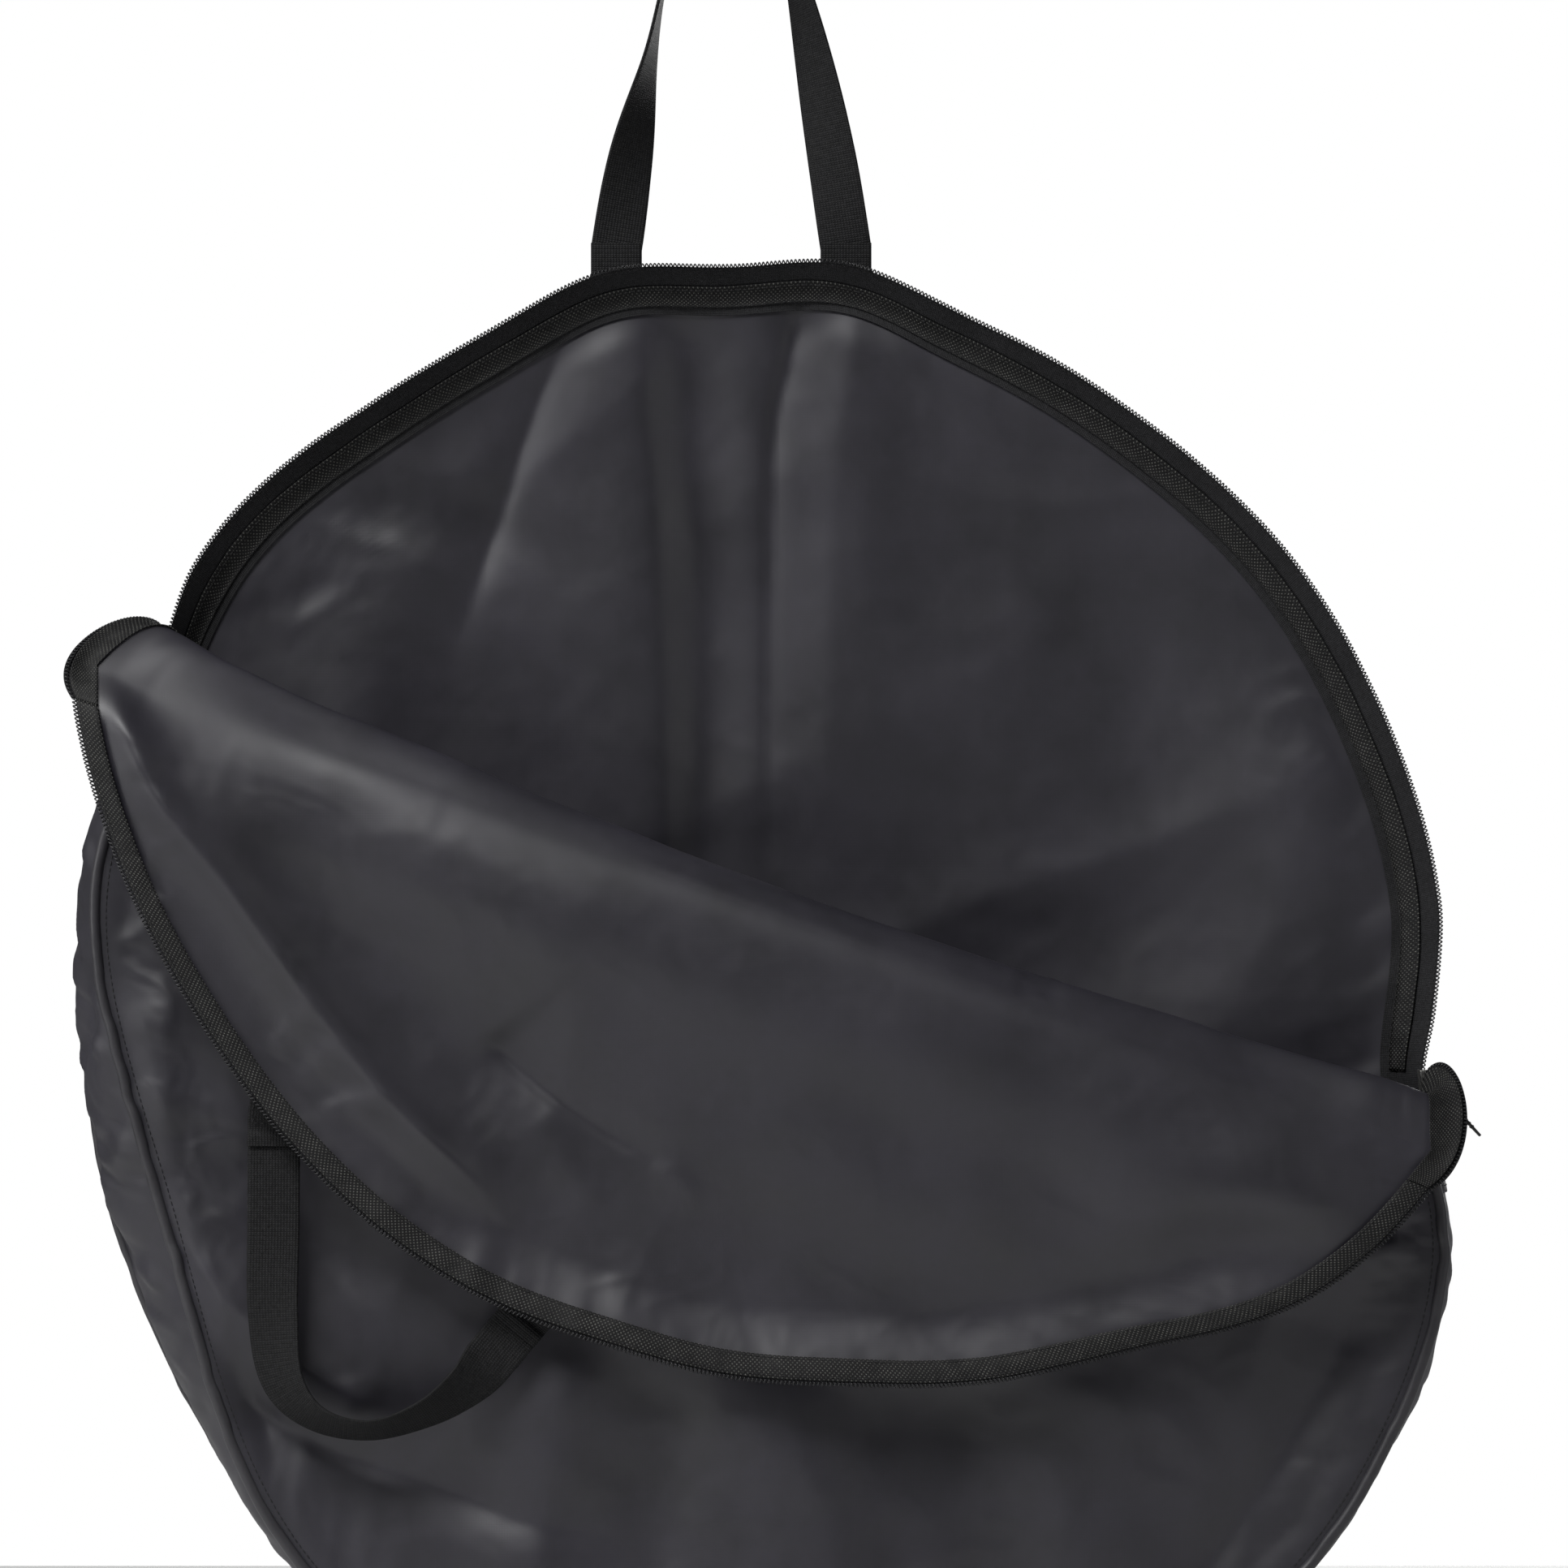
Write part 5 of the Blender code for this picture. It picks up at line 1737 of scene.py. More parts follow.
@dataclass
class Zip:
    """Both halves of the open zip, with their binding, and the stretches at its two ends."""

    wardrobe: Wardrobe
    samples: int = 700
    pitch: float = 2.2 * MM
    wire: float = 0.42 * MM
    coil_width: float = 3.0 * MM
    coil_play: float = 0.4 * MM
    under_coil: float = 0.4 * MM
    thread_rise: float = 0.4 * MM
    closed_start: float = math.radians(0.5)
    closed_play: float = 0.0005
    closed_coil: float = 5.6 * MM
    closed_pitch_share: float = 0.6
    tape: float = 0.5 * MM
    tape_cell: float = 0.002
    under_cell: float = 0.003
    turn_cell: float = 0.0012
    tape_offset: float = 1.5 * MM
    tape_rows: tuple[float, ...] = (-1.5,)
    closed_rows: tuple[float, ...] = (-1.7, 1.7)
    binding_offset: float = 2.8 * MM
    binding_width: float = 12.0 * MM
    binding_thickness: float = 0.0010
    binding_turn_thickness: float = 0.0009
    binding_crown: float = 0.0005
    binding_cell: float = 0.0024
    binding_thread_rise: float = 0.0008
    binding_rows: tuple[float, float] = (-0.78, 0.74)
    binding_uneven: float = 0.35
    binding_uneven_length: float = 0.011
    binding_turn_cell: float = 0.0014
    binding_inside: float = 4.5 * MM
    binding_over: float = 9.5 * MM
    lap: float = 9.0 * MM
    turn_swing: float = 16.0 * MM
    turn_drop: float = 12.0 * MM
    turn_leave: float = 26.0 * MM
    turn_arrive: float = 30.0 * MM
    turn_bulge: float = 2.5 * MM
    turn_ripple: float = 0.9 * MM
    turn_ripple_length: float = 0.009
    turn_under: float = 1.5 * MM
    turn_over: float = 3.4 * MM
    turn_reads: int = 160
    entry: float = math.radians(1.0)
    entry_ease: float = 0.11
    entry_depth: float = 2.0 * MM
    wave: float = 1.6 * MM

    def on_panel(self, angle: Points, inset: float, offset: float) -> Points:
        """Points in front of the back panel near its open edge.

        Args:
            angle: Places round the body.
            inset: How far they lie inside the panel's edge.
            offset: How far in front of the panel they lie.

        Returns:
            The points.
        """
        radius = SHAPE.seam_radius(angle) - SHAPE.panel_inset - inset
        depth = BACK_DRAPE.face(radius * np.cos(angle), radius * np.sin(angle)) - offset
        return at_angle(radius, angle, depth)

    def on_tape(self, angle: Points, from_tip: float) -> Points:
        """Points on the back half's standing tape, which eases into the sliders at its ends.

        Args:
            angle: Places round the body.
            from_tip: How far they lie from the coil's outer edge.

        Returns:
            The points.
        """
        foot = self.on_panel(angle, 0.0, self.tape_offset)
        ends = np.minimum(angle - SHAPE.slider_right, SHAPE.slider_left - angle)
        near = smooth(0.0, self.entry_ease, ends)
        reach = SHAPE.stub_reach + (SHAPE.zip_reach - SHAPE.stub_reach) * near
        depth = self.entry_depth + (SHAPE.coil_depth - self.entry_depth) * near
        wave = self.wave * value_noise(angle * 17.0, angle * 0.0, 91) * near
        tip = at_angle(SHAPE.seam_radius(angle) + reach, angle, depth + wave)
        return tip + unit(foot - tip) * from_tip

    def binding(self, side: str, rails: Rails, body: str) -> None:
        """Makes one half's binding with its two rows of thread.

        Args:
            side: Which half it is.
            rails: The binding's inner and outer edge.
            body: The body it rides on.
        """
        section = band_section(
            self.binding_width / 2.0, self.binding_thickness, 9, self.binding_crown)

        def uneven(distance: Points, across: Points) -> Points:
            """The bound seam is thicker in some places than in others."""
            noise = value_noise(distance / self.binding_uneven_length, across, 95)
            return 1.0 + self.binding_uneven * noise

        made = sweep(f"binding_cover_{side}", rails, section, self.binding_cell, uneven)
        settle(made, self.wardrobe.binding, body, [f"binding_{side}"])
        thread = stitches(
            f"binding_thread_{side}", rails, self.binding_rows, self.binding_thread_rise)
        settle(thread, self.wardrobe.thread, body)

    def back_half(self) -> None:
        """Makes the half of the zip that stays on the back panel."""
        angle = np.linspace(
            SHAPE.slider_right - self.entry, SHAPE.slider_left + self.entry, self.samples)
        held = Rails(
            self.on_panel(angle, self.lap, self.tape_offset),
            self.on_panel(angle, 0.0, self.tape_offset))
        under = strip("tape_back_under", held, self.under_cell, self.tape, columns=4)
        settle(under, self.wardrobe.tape, "bag")
        foot = self.on_panel(angle, 0.0, self.tape_offset)
        stand = Rails(foot, self.on_tape(angle, self.coil_width - self.under_coil))
        tape = strip("tape_back", stand, self.tape_cell, self.tape, columns=10)
        settle(tape, self.wardrobe.tape, "bag", ["zip_tape_back"])
        angle = np.linspace(
            SHAPE.slider_right + self.entry, SHAPE.slider_left - self.entry, self.samples)
        wound = Rails(self.on_tape(angle, self.coil_width), self.on_tape(angle, 0.0))
        teeth = coil("coil_back", wound, self.pitch, self.wire)
        settle(teeth, self.wardrobe.coil, "bag", ["zip_coil_back"])
        thread = stitches("coil_thread_back", wound, self.tape_rows, self.thread_rise)
        settle(thread, self.wardrobe.thread, "bag")
        foot = self.on_panel(angle, 0.0, self.tape_offset)
        climb = unit(self.on_tape(angle, 0.0) - foot)
        inward = unit(np.cross(climb, np.gradient(foot, axis=0)))
        inward = inward * -np.sign(inward[:, 1:2]) * (self.binding_offset - self.tape_offset)
        bound = Rails(
            self.on_panel(angle, self.binding_inside, self.binding_offset),
            foot + climb * self.binding_over + inward,
            self.on_panel(angle, 0.0, self.binding_offset))
        self.binding("back", bound, "bag")

    def flap_half(self) -> None:
        """Makes the half of the zip along the flap's free edge."""
        first = SHAPE.fold_left + SHAPE.flap_end_turn
        last = SHAPE.fold_left + HALF_TURN - SHAPE.flap_end_turn
        angle = np.linspace(first, last, self.samples)
        edge = SHAPE.flap_radius(angle)

        def rails(inner: float, outer: float, lift: float) -> Rails:
            """Rails between two insets from the flap's edge."""
            return Rails(at_flap(edge - inner, angle, lift), at_flap(edge - outer, angle, lift))

        beside = self.coil_width + self.coil_play
        lapped = rails(beside + self.lap, self.coil_width - self.under_coil, self.tape_offset)
        tape = strip("tape_flap", lapped, self.tape_cell, self.tape, columns=12)
        settle(tape, self.wardrobe.tape, "flap", ["zip_tape_flap"])
        wound = rails(self.coil_width, 0.0, self.tape_offset)
        teeth = coil("coil_flap", wound, self.pitch, self.wire)
        settle(teeth, self.wardrobe.coil, "flap", ["zip_coil_flap"])
        thread = stitches("coil_thread_flap", wound, self.tape_rows, self.thread_rise)
        settle(thread, self.wardrobe.thread, "flap")
        bound = rails(beside + self.binding_width, beside, self.binding_offset)
        self.binding("flap", bound, "flap")

    def stub(self, end: End, slider_angle: float) -> None:
        """Makes the closed stretch of zip between one slider and the gusset.

        Args:
            end: Which end of the zip it is.
            slider_angle: Where its slider stands.
        """
        stop = SHAPE.zip_left if end is End.LEFT else SHAPE.zip_right
        first = slider_angle - end.towards * self.closed_start
        last = stop - end.towards * SHAPE.stub_turn
        angle = np.linspace(first, last, 60)
        half = SHAPE.rim_depth - self.closed_play

        def surface(across: Points, along: Points) -> tuple[Points, Points]:
            """Places the closed tape, which bulges from seam to seam."""
            place = first + (last - first) * along
            share = 2.0 * across - 1.0
            seam = SHAPE.between_seams(place, (share + 1.0) / 2.0)
            radius = seam + SHAPE.stub_reach * (1.0 - share**4)
            cloth = np.stack([share * half, place * SHAPE.body_radius], axis=-1)
            return at_angle(radius, place, share * half), cloth

        made = thicken(lay(f"tape_closed_{end.value}", 20, 30, surface), self.tape)
        settle(made, self.wardrobe.tape, "bag", [f"zip_end_{end.value}"])
        line = at_angle(SHAPE.stub_radius(angle), angle, np.zeros_like(angle))
        rails = Rails.about(line, np.tile((0.0, 1.0, 0.0), (60, 1)), self.closed_coil / 2.0)
        pitch = self.closed_pitch_share * self.pitch
        teeth = coil(f"coil_closed_{end.value}", rails, pitch, self.wire)
        settle(teeth, self.wardrobe.coil, "bag")
        thread = stitches(
            f"closed_thread_{end.value}", rails, self.closed_rows, self.thread_rise)
        settle(thread, self.wardrobe.thread, "bag")

    def turn(self, end: End, slider_angle: float) -> None:
        """Makes the stretch where the front half turns over the fold's end to the flap.

        Args:
            end: Which end of the zip it is.
            slider_angle: Where its slider stands.
        """
        towards = end.towards
        fold_angle = SHAPE.fold_left + (HALF_TURN if end is End.RIGHT else 0.0)
        last_angle = fold_angle - towards * SHAPE.flap_end_turn
        starts = slider_angle + towards * (self.entry + np.array([0.0, 0.02]))
        begin, ahead = at_angle(SHAPE.stub_radius(starts), starts, -self.entry_depth)
        stops = last_angle - towards * np.array([0.0, 0.05])
        finish, past = at_flap(SHAPE.flap_radius(stops), stops, self.tape_offset)
        swing = np.array([towards * self.turn_swing, 0.0, 0.0])
        drop = np.array([0.0, -self.turn_drop, 0.0])
        leave = begin + unit(ahead - begin) * self.turn_leave + swing + drop
        arrive = finish - unit(past - finish) * self.turn_arrive + swing
        share = np.linspace(0.0, 1.0, self.turn_reads)
        outer = bezier(begin, leave, arrive, finish, share)
        front = FoldedFront(self.wardrobe)
        corner = np.full(80, 1.0 if end is End.RIGHT else 0.0)
        arc, _ = front.roll_surface(corner, np.linspace(0.0, 1.0, 80))
        angles = np.linspace(fold_angle, last_angle, 12)[1:]
        line = np.concatenate([arc, at_flap(SHAPE.flap_edge_radius(angles), angles)])
        steps = np.concatenate([[0.0], np.cumsum(np.linalg.norm(np.diff(line, axis=0), axis=1))])
        inner = between(share, steps / steps[-1], line)
        inner[:, 1] -= self.tape_offset * smooth(0.5, 1.0, share)
        if end is End.LEFT:
            inner, outer = inner[::-1], outer[::-1]
        rails = Rails(inner, outer)
        outward_sign = np.sign(float(rails.up[:, 0].mean()) * towards)

        def relief(distance: Points, across: Points) -> Points:
            """Bulges the turning tape outwards, least at its ends."""
            ends = np.sin(HALF_TURN * np.clip(distance / rails.length, 0.0, 1.0))
            ripple = self.turn_ripple * value_noise(
                distance / self.turn_ripple_length, across * 0.8, 97)
            return outward_sign * (self.turn_bulge + ripple) * ends * (1.0 - across * across)

        made = strip(
            f"tape_turn_{end.value}", rails, self.turn_cell, self.tape, relief, columns=14)
        settle(made, self.wardrobe.tape, None, [f"zip_turn_{end.value}"])
        wound = Rails(outer + unit(inner - outer) * self.coil_width, outer)
        teeth = coil(f"coil_turn_{end.value}", wound, self.pitch, self.wire)
        settle(teeth, self.wardrobe.coil, None)
        facing = -np.sign(float(rails.up[0 if end is End.LEFT else -1, 1]))
        raised = rails.up * facing * (self.binding_offset - self.tape_offset)
        bulge = rails.up * relief(rails.distance, np.zeros(len(inner)))[:, None]
        over = unit(outer - inner)
        low = inner - over * self.turn_under + raised
        high = outer - over * self.turn_over + raised
        bound = Rails(low, high, (low + high) / 2.0 + bulge)
        section = band_section(self.binding_width / 2.0, self.binding_turn_thickness, 9)
        cover = sweep(f"binding_turn_{end.value}", bound, section, self.binding_turn_cell)
        settle(cover, self.wardrobe.binding, None)

    def build(self) -> None:
        """Makes the whole zip."""
        self.back_half()
        self.flap_half()
        for end, angle in ((End.RIGHT, SHAPE.slider_right), (End.LEFT, SHAPE.slider_left)):
            self.stub(end, angle)
            self.turn(end, angle)


@dataclass
class ZipSlider:
    """One zip slider with its bail and its pull tab."""

    wardrobe: Wardrobe
    end: End
    angle: float
    lean: float
    length: float = 16.0 * MM
    width: float = 14.0 * MM
    plate: float = 1.2 * MM
    slot: float = 3.6 * MM
    plate_edge: float = 0.45 * MM
    plate_taper: float = 0.66
    post_inset: float = 1.6 * MM
    post_length: float = 3.0 * MM
    post_width: float = 3.4 * MM
    post_edge: float = 0.4 * MM
    wall_place: Triple = (1.0 * MM, 0.40 * MM, 5.6 * MM)
    wall_size: Triple = (9.0 * MM, 0.8 * MM, 0.8 * MM)
    wall_edge: float = 0.2 * MM
    bail_width: float = 4.4 * MM
    bail_length: float = 9.4 * MM
    bail_rise: float = 5.6 * MM
    bail_wall: float = 1.2 * MM
    bail_sides: tuple[float, ...] = (-1.0, -1.0, -0.96, -0.6, 0.0, 0.6, 0.96, 1.0, 1.0)
    bail_rises: tuple[float, ...] = (0, 0.45, 0.78, 0.97, 1.0, 0.97, 0.78, 0.45, 0)
    pull_length: float = 36.0 * MM
    pull_width: float = 9.5 * MM
    pull_thickness: float = 1.4 * MM
    pull_bar: float = 1.8 * MM
    eye_length: float = 9.4 * MM
    eye_path: tuple[tuple[float, float], ...] = (
        (0.0, 0.62), (0.0, 0.0), (0.0, -0.62), (0.35, -0.80), (0.75, -0.82), (1.0, -0.55),
        (1.0, 0.0), (1.0, 0.55), (0.75, 0.82), (0.35, 0.80), (0.0, 0.62),
    )
    grip_ribs: int = 5
    grip_start: float = 11.0 * MM
    grip_spacing: float = 2.4 * MM
    grip_length: float = 1.0 * MM
    grip_rise: float = 0.8 * MM
    grip_edge: float = 0.3 * MM
    grip_share: float = 0.66
    eye_lap: float = 0.8 * MM
    tab_edge: float = 0.35 * MM

    def block(
        self, centre: Triple, size: Triple, round_edge: float, taper: float = 1.0
    ) -> Piece:
        """A cast block with round edges, narrower at its back.

        Args:
            centre: Its middle, along the travel, outwards and across.
            size: Its size in the same order.
            round_edge: How far its edges are rounded.
            taper: Its width at the back as a share of that at the front.

        Returns:
            The block.
        """
        bpy.ops.object.select_all(action="DESELECT")
        bpy.ops.mesh.primitive_cube_add(size=1.0, location=centre, scale=size)
        made = bpy.context.object
        bpy.ops.object.transform_apply(location=True, rotation=True, scale=True)
        edit(made, lambda: bpy.ops.mesh.subdivide(number_cuts=3))
        for vertex in made.data.vertices:
            share = (vertex.co.x - centre[0]) / size[0] + 0.5
            wide = taper + (1.0 - taper) * min(1.0, 1.6 * share)
            vertex.co.z = centre[2] + (vertex.co.z - centre[2]) * wide
        apply_modifier(made, "BEVEL", width=round_edge, segments=3, limit_method="ANGLE")
        return made

    def cast_parts(self) -> list[Piece]:
        """The two plates, the post between them, their side walls and the bail.

        Returns:
            The parts, in the slider's own frame.
        """
        level = self.slot / 2.0 + self.plate / 2.0
        size = (self.length, self.plate, self.width)
        post = (self.length / 2.0 - self.post_inset, 0.0, 0.0)
        post_size = (self.post_length, self.slot, self.post_width)
        parts = [
            self.block((0.0, level, 0.0), size, self.plate_edge, self.plate_taper),
            self.block((0.0, -level, 0.0), size, self.plate_edge, self.plate_taper),
            self.block(post, post_size, self.post_edge),
        ]
        ahead, sunk, out = self.wall_place
        for side in (-1.0, 1.0):
            for up in (-1.0, 1.0):
                centre = (ahead, up * (self.slot / 2.0 - sunk), side * out)
                parts.append(self.block(centre, self.wall_size, self.wall_edge))
        base = self.slot / 2.0 + self.plate * 0.6
        top = self.slot / 2.0 + self.plate + self.bail_rise - self.bail_wall / 2.0
        reach = self.bail_length / 2.0 - self.bail_wall / 2.0
        turn = np.linspace(0.0, 1.0, 60)
        line = stack(
            reach * line_share(self.bail_sides, turn),
            base + (top - base) * line_share(self.bail_rises, turn),
            0.0 * turn,
        )
        rails = Rails.about(line, np.tile((0.0, 0.0, 1.0), (60, 1)), self.bail_width / 2.0)
        section = band_section(self.bail_width / 2.0, self.bail_wall, 5)
        parts.append(sweep("bail", rails, section, 0.5 * MM, centre=(0.0, 0.0, 0.0)))
        return parts

    def tab_parts(self) -> list[Piece]:
        """The pull tab: its eye, its waisted body and the ribs that give it grip.

        Returns:
            The parts, with X along the tab and Y across it.
        """
        half = self.pull_width / 2.0
        turn = np.linspace(0.0, 1.0, 121)
        eye = line_share(self.eye_path, turn)
        line = stack(eye[:, 0] * self.eye_length, eye[:, 1] * half, 0.0 * turn)
        rails = Rails.about(line, np.tile((0.0, 0.0, 1.0), (121, 1)), self.pull_thickness / 2.0)
        section = round_section(8, self.pull_bar / 2.0)
        parts = [sweep("eye", rails, section, 0.5 * MM, centre=(0.0, 0.0, 0.0))]
        start = self.eye_length - self.eye_lap
        length = self.pull_length - start
        size = (length, self.pull_width, self.pull_thickness)
        body = self.block((start + length / 2.0, 0.0, 0.0), size, self.tab_edge)
        for vertex in body.data.vertices:
            share = (vertex.co.x - start) / length
            over = min(1.0, max(0.0, (share - 1.0) * length / half + 1.0))
            vertex.co.y *= 0.72 + 0.28 * min(1.0, share * 1.7)
            vertex.co.y *= math.sqrt(1.0 - over**2 * 0.85)
        parts.append(body)
        size = (
            self.grip_length, self.pull_width * self.grip_share,
            self.pull_thickness + self.grip_rise)
        for step in range(self.grip_ribs):
            place = start + self.grip_start + step * self.grip_spacing
            parts.append(self.block((place, 0.0, 0.0), size, self.grip_edge))
        return parts

    def stand(self, made: Piece, middle: Points, first: Points, second: Points) -> None:
        """Moves a piece from its own frame to its place on the bag.

        Args:
            made: The piece.
            middle: Where its origin goes.
            first: The direction of its X.
            second: The direction of its Y.
        """
        third = np.cross(first, second)
        turn = Matrix((first.tolist(), second.tolist(), third.tolist())).transposed().to_4x4()
        move = Matrix.Translation(Vector(SHAPE.to_frame(middle).tolist()))
        made.data.transform(move @ turn)
        edit(made, lambda: bpy.ops.mesh.normals_make_consistent(inside=False))
        bpy.ops.object.shade_smooth_by_angle(angle=math.radians(40.0))

    def build(self) -> None:
        """Makes the slider and its pull at their places."""
        towards, side = self.end.towards, self.end.value
        around = self.angle + towards * math.radians(2.5) * np.array([0.0, 1.0, -1.0])
        middle, ahead, behind = at_angle(SHAPE.stub_radius(around), around, 0.0)
        travel = unit(ahead - behind)
        outward = np.array([travel[2], 0.0, -travel[0]]) * towards
        cast = join(f"slider_cast_{side}", self.cast_parts())
        self.stand(cast, middle, travel, outward)
        settle(cast, self.wardrobe.metal, f"zip_slider_{side}", [f"slider_{side}"])
        bar_space = math.hypot(self.pull_bar, self.pull_thickness) / 2.0 + 0.3 * MM
        back = self.bail_length / 2.0 - self.bail_wall - bar_space
        lift = self.slot / 2.0 + self.plate + (self.bail_rise - self.bail_wall) / 2.0
        pin = middle - travel * back + outward * lift
        hang = outward * math.sin(self.lean) - travel * math.cos(self.lean)
        tab = join(f"pull_tab_{side}", self.tab_parts())
        self.stand(tab, pin, hang, np.array([0.0, 1.0, 0.0]))
        settle(tab, self.wardrobe.pull, f"zip_pull_{side}", [f"pull_{side}"])


@dataclass
class Handles:
    """The two webbing handles with their sewn ends."""

    wardrobe: Wardrobe
    width: float = 0.028
    thickness: float = 0.0018
    half_spread: float = 0.063
    sewn: float = 0.075
    strap_offset: float = 0.0026
    lap: float = 0.009
    loop_start: float = 0.0062
    loop_trim: float = 0.0013
    hinge_rise: float = 0.003
    play: float = 0.3 * MM
    samples: int = 80
    rib_spacing: float = 2.4 * MM
    rib_height: float = 0.09
    cord_height: float = 0.05
    cords_per_half: float = 3.0
    webbing_cell: float = 0.0006
    thread_rise: float = 0.1 * MM
    box_corners: tuple[tuple[float, float], ...] = (
        (0.16, -0.82), (0.16, 0.82), (0.94, -0.82), (0.94, 0.82),
    )
    back_path: tuple[tuple[float, float], ...] = (
        (-1, 0), (-0.88, 0.26), (-0.71, 0.55), (-0.58, 0.78), (-0.42, 0.94), (0, 1),
        (0.42, 0.94), (0.57, 0.78), (0.72, 0.55), (0.88, 0.26), (1, 0),
    )
    back_twist: tuple[float, ...] = (0, 0.35, 0.85, 1, 1, 1, 0.95, 0.75, 0.50, 0.20, 0)
    front_left: float = math.radians(205.3)
    front_right: float = math.radians(239.6)
    front_play: float = 0.0054
    front_drop: float = 0.155
    front_depth: float = -0.054
    front_path: tuple[tuple[float, float], ...] = (
        (0, 0), (0, 0.30), (0, 0.60), (0.04, 0.83), (0.18, 0.96), (0.40, 1), (0.63, 0.94),
        (0.80, 0.84), (0.90, 0.74),
    )
    front_twist: tuple[float, ...] = (0, 0, 0.12, 0.35, 0.60, 0.70, 0.60, 0.35, 0, 0)
    front_bend: tuple[float, float] = (0.004, 0.034)
    front_over: float = 0.005
    front_sink: float = 0.004
    front_ease: tuple[float, float] = (0.004, 0.020)
    front_lap: float = 0.0045
    strap_turn: float = math.radians(50.0)

    def webbing(self, name: str, middle: Points, across: Points, body: str, node: str) -> Rails:
        """Makes one stretch of webbing with its woven ribs.

        Args:
            name: The piece's name.
            middle: The line it follows.
            across: The direction of its width at each point.
            body: The body it rides on.
            node: The CAD node it replaces.

        Returns:
            The webbing's rails.
        """
        rails = Rails.about(middle, across, self.width / 2.0)
        section = band_section(self.width / 2.0, self.thickness, 13)

        def ribs(distance: Points, share: Points) -> Points:
            """The ribs of the weave, stronger off the edges."""
            cords = self.cord_height * np.cos(share * FULL_TURN * self.cords_per_half)
            waves = self.rib_height * np.cos(distance * FULL_TURN / self.rib_spacing)
            return 1.0 + smooth(1.0, 0.8, np.abs(share)) * (waves + cords)

        made = sweep(name, rails, section, self.webbing_cell, ribs)
        settle(made, self.wardrobe.webbing, body, [node])
        return rails

    def box_stitch(self, name: str, rails: Rails, body: str) -> None:
        """Makes the sewn box with its cross that holds a handle's end.

        Args:
            name: The piece's name.
            rails: The sewn end's rails.
            body: The body it rides on.
        """
        level = self.thickness / 2.0 + self.thread_rise
        parts = []
        for face, height in (("front", level), ("back", -level)):
            for start, stop in ((0, 1), (2, 3), (0, 3), (1, 2), (0, 2), (1, 3)):
                first, last = self.box_corners[start], self.box_corners[stop]
                along = np.linspace(first[0], last[0], 30)
                share = np.linspace(first[1], last[1], 30)
                line = rails.place(along, share, np.full(30, height))
                above = rails.place(along, share, np.full(30, height * 2.0)) - line
                row = Rails.about(line, np.cross(np.gradient(line, axis=0), above), 0.001)
                parts.append(stitches(f"{name}_{face}_{start}{stop}", row, (0.0,), 0.0))
        settle(join(name, parts), self.wardrobe.thread, body)

    def loop(self, place: Callable, path: Sequence, twists: Sequence) -> tuple[Points, Points]:
        """The line and the width directions of a handle's loop.

        Args:
            place: Turns path shares and a share along to points.
            path: The loop's path as shares.
            twists: How far it is twisted about its length, as shares of a quarter turn.

        Returns:
            The points and the directions.
        """
        along = np.linspace(0.0, 1.0, 400)
        share = self.loop_trim + (1.0 - 2.0 * self.loop_trim) * along
        middle = place(line_share(path, share), share)
        run = np.gradient(middle, axis=0)
        flat = unit(stack(run[:, 2], 0.0, -run[:, 0]))
        twist = line_share(twists, along) * HALF_TURN / 2.0
        across = flat * np.cos(twist)[:, None] + stack(0.0, np.sin(twist), 0.0)
        return middle, across

    def back(self) -> None:
        """Makes the back handle, which carries the bag."""
        rises = [
            (SHAPE.seam_radius(np.array(angle)) + SHAPE.zip_reach) * math.sin(angle)
            for angle in SHAPE.strap_peak_angles
        ]
        hinge = float(max(rises)) + self.hinge_rise
        middle = -SHAPE.centre[0]
        level = np.tile((1.0, 0.0, 0.0), (self.samples, 1))
        for side, sign in (("left", -1.0), ("right", 1.0)):
            place = middle + sign * self.half_spread
            foot = float(SHAPE.seam_radius(np.arctan2(hinge, place))) - self.sewn
            rise = np.linspace(hinge + self.lap, foot, self.samples)
            across = np.full(self.samples, place)
            plain = SHAPE.back_depth(across, rise)
            depth = np.maximum(BACK_DRAPE.face(across, rise), plain) + self.strap_offset
            name = f"strap_back_{side}"
            line = stack(across, depth, rise)
            rails = self.webbing(name, line, level, "bag", f"handle_back_end_{side}")
            self.box_stitch(f"{name}_thread", rails, "bag")
        start = hinge + self.loop_start
        leg_depth = SHAPE.rim_depth + self.strap_offset + self.thickness + self.play

        def on_loop(share: Points, _: Points) -> Points:
            """Places the loop's path."""
            depth = leg_depth + (-SHAPE.centre[1] - leg_depth) * share[:, 1] ** 2
            rise = start + (-SHAPE.centre[2] - start) * share[:, 1]
            return stack(middle + self.half_spread * share[:, 0], depth, rise)

        line, across = self.loop(on_loop, self.back_path, self.back_twist)
        self.webbing("strap_back_loop", line, across, "back_handle", "handle_back_loop")

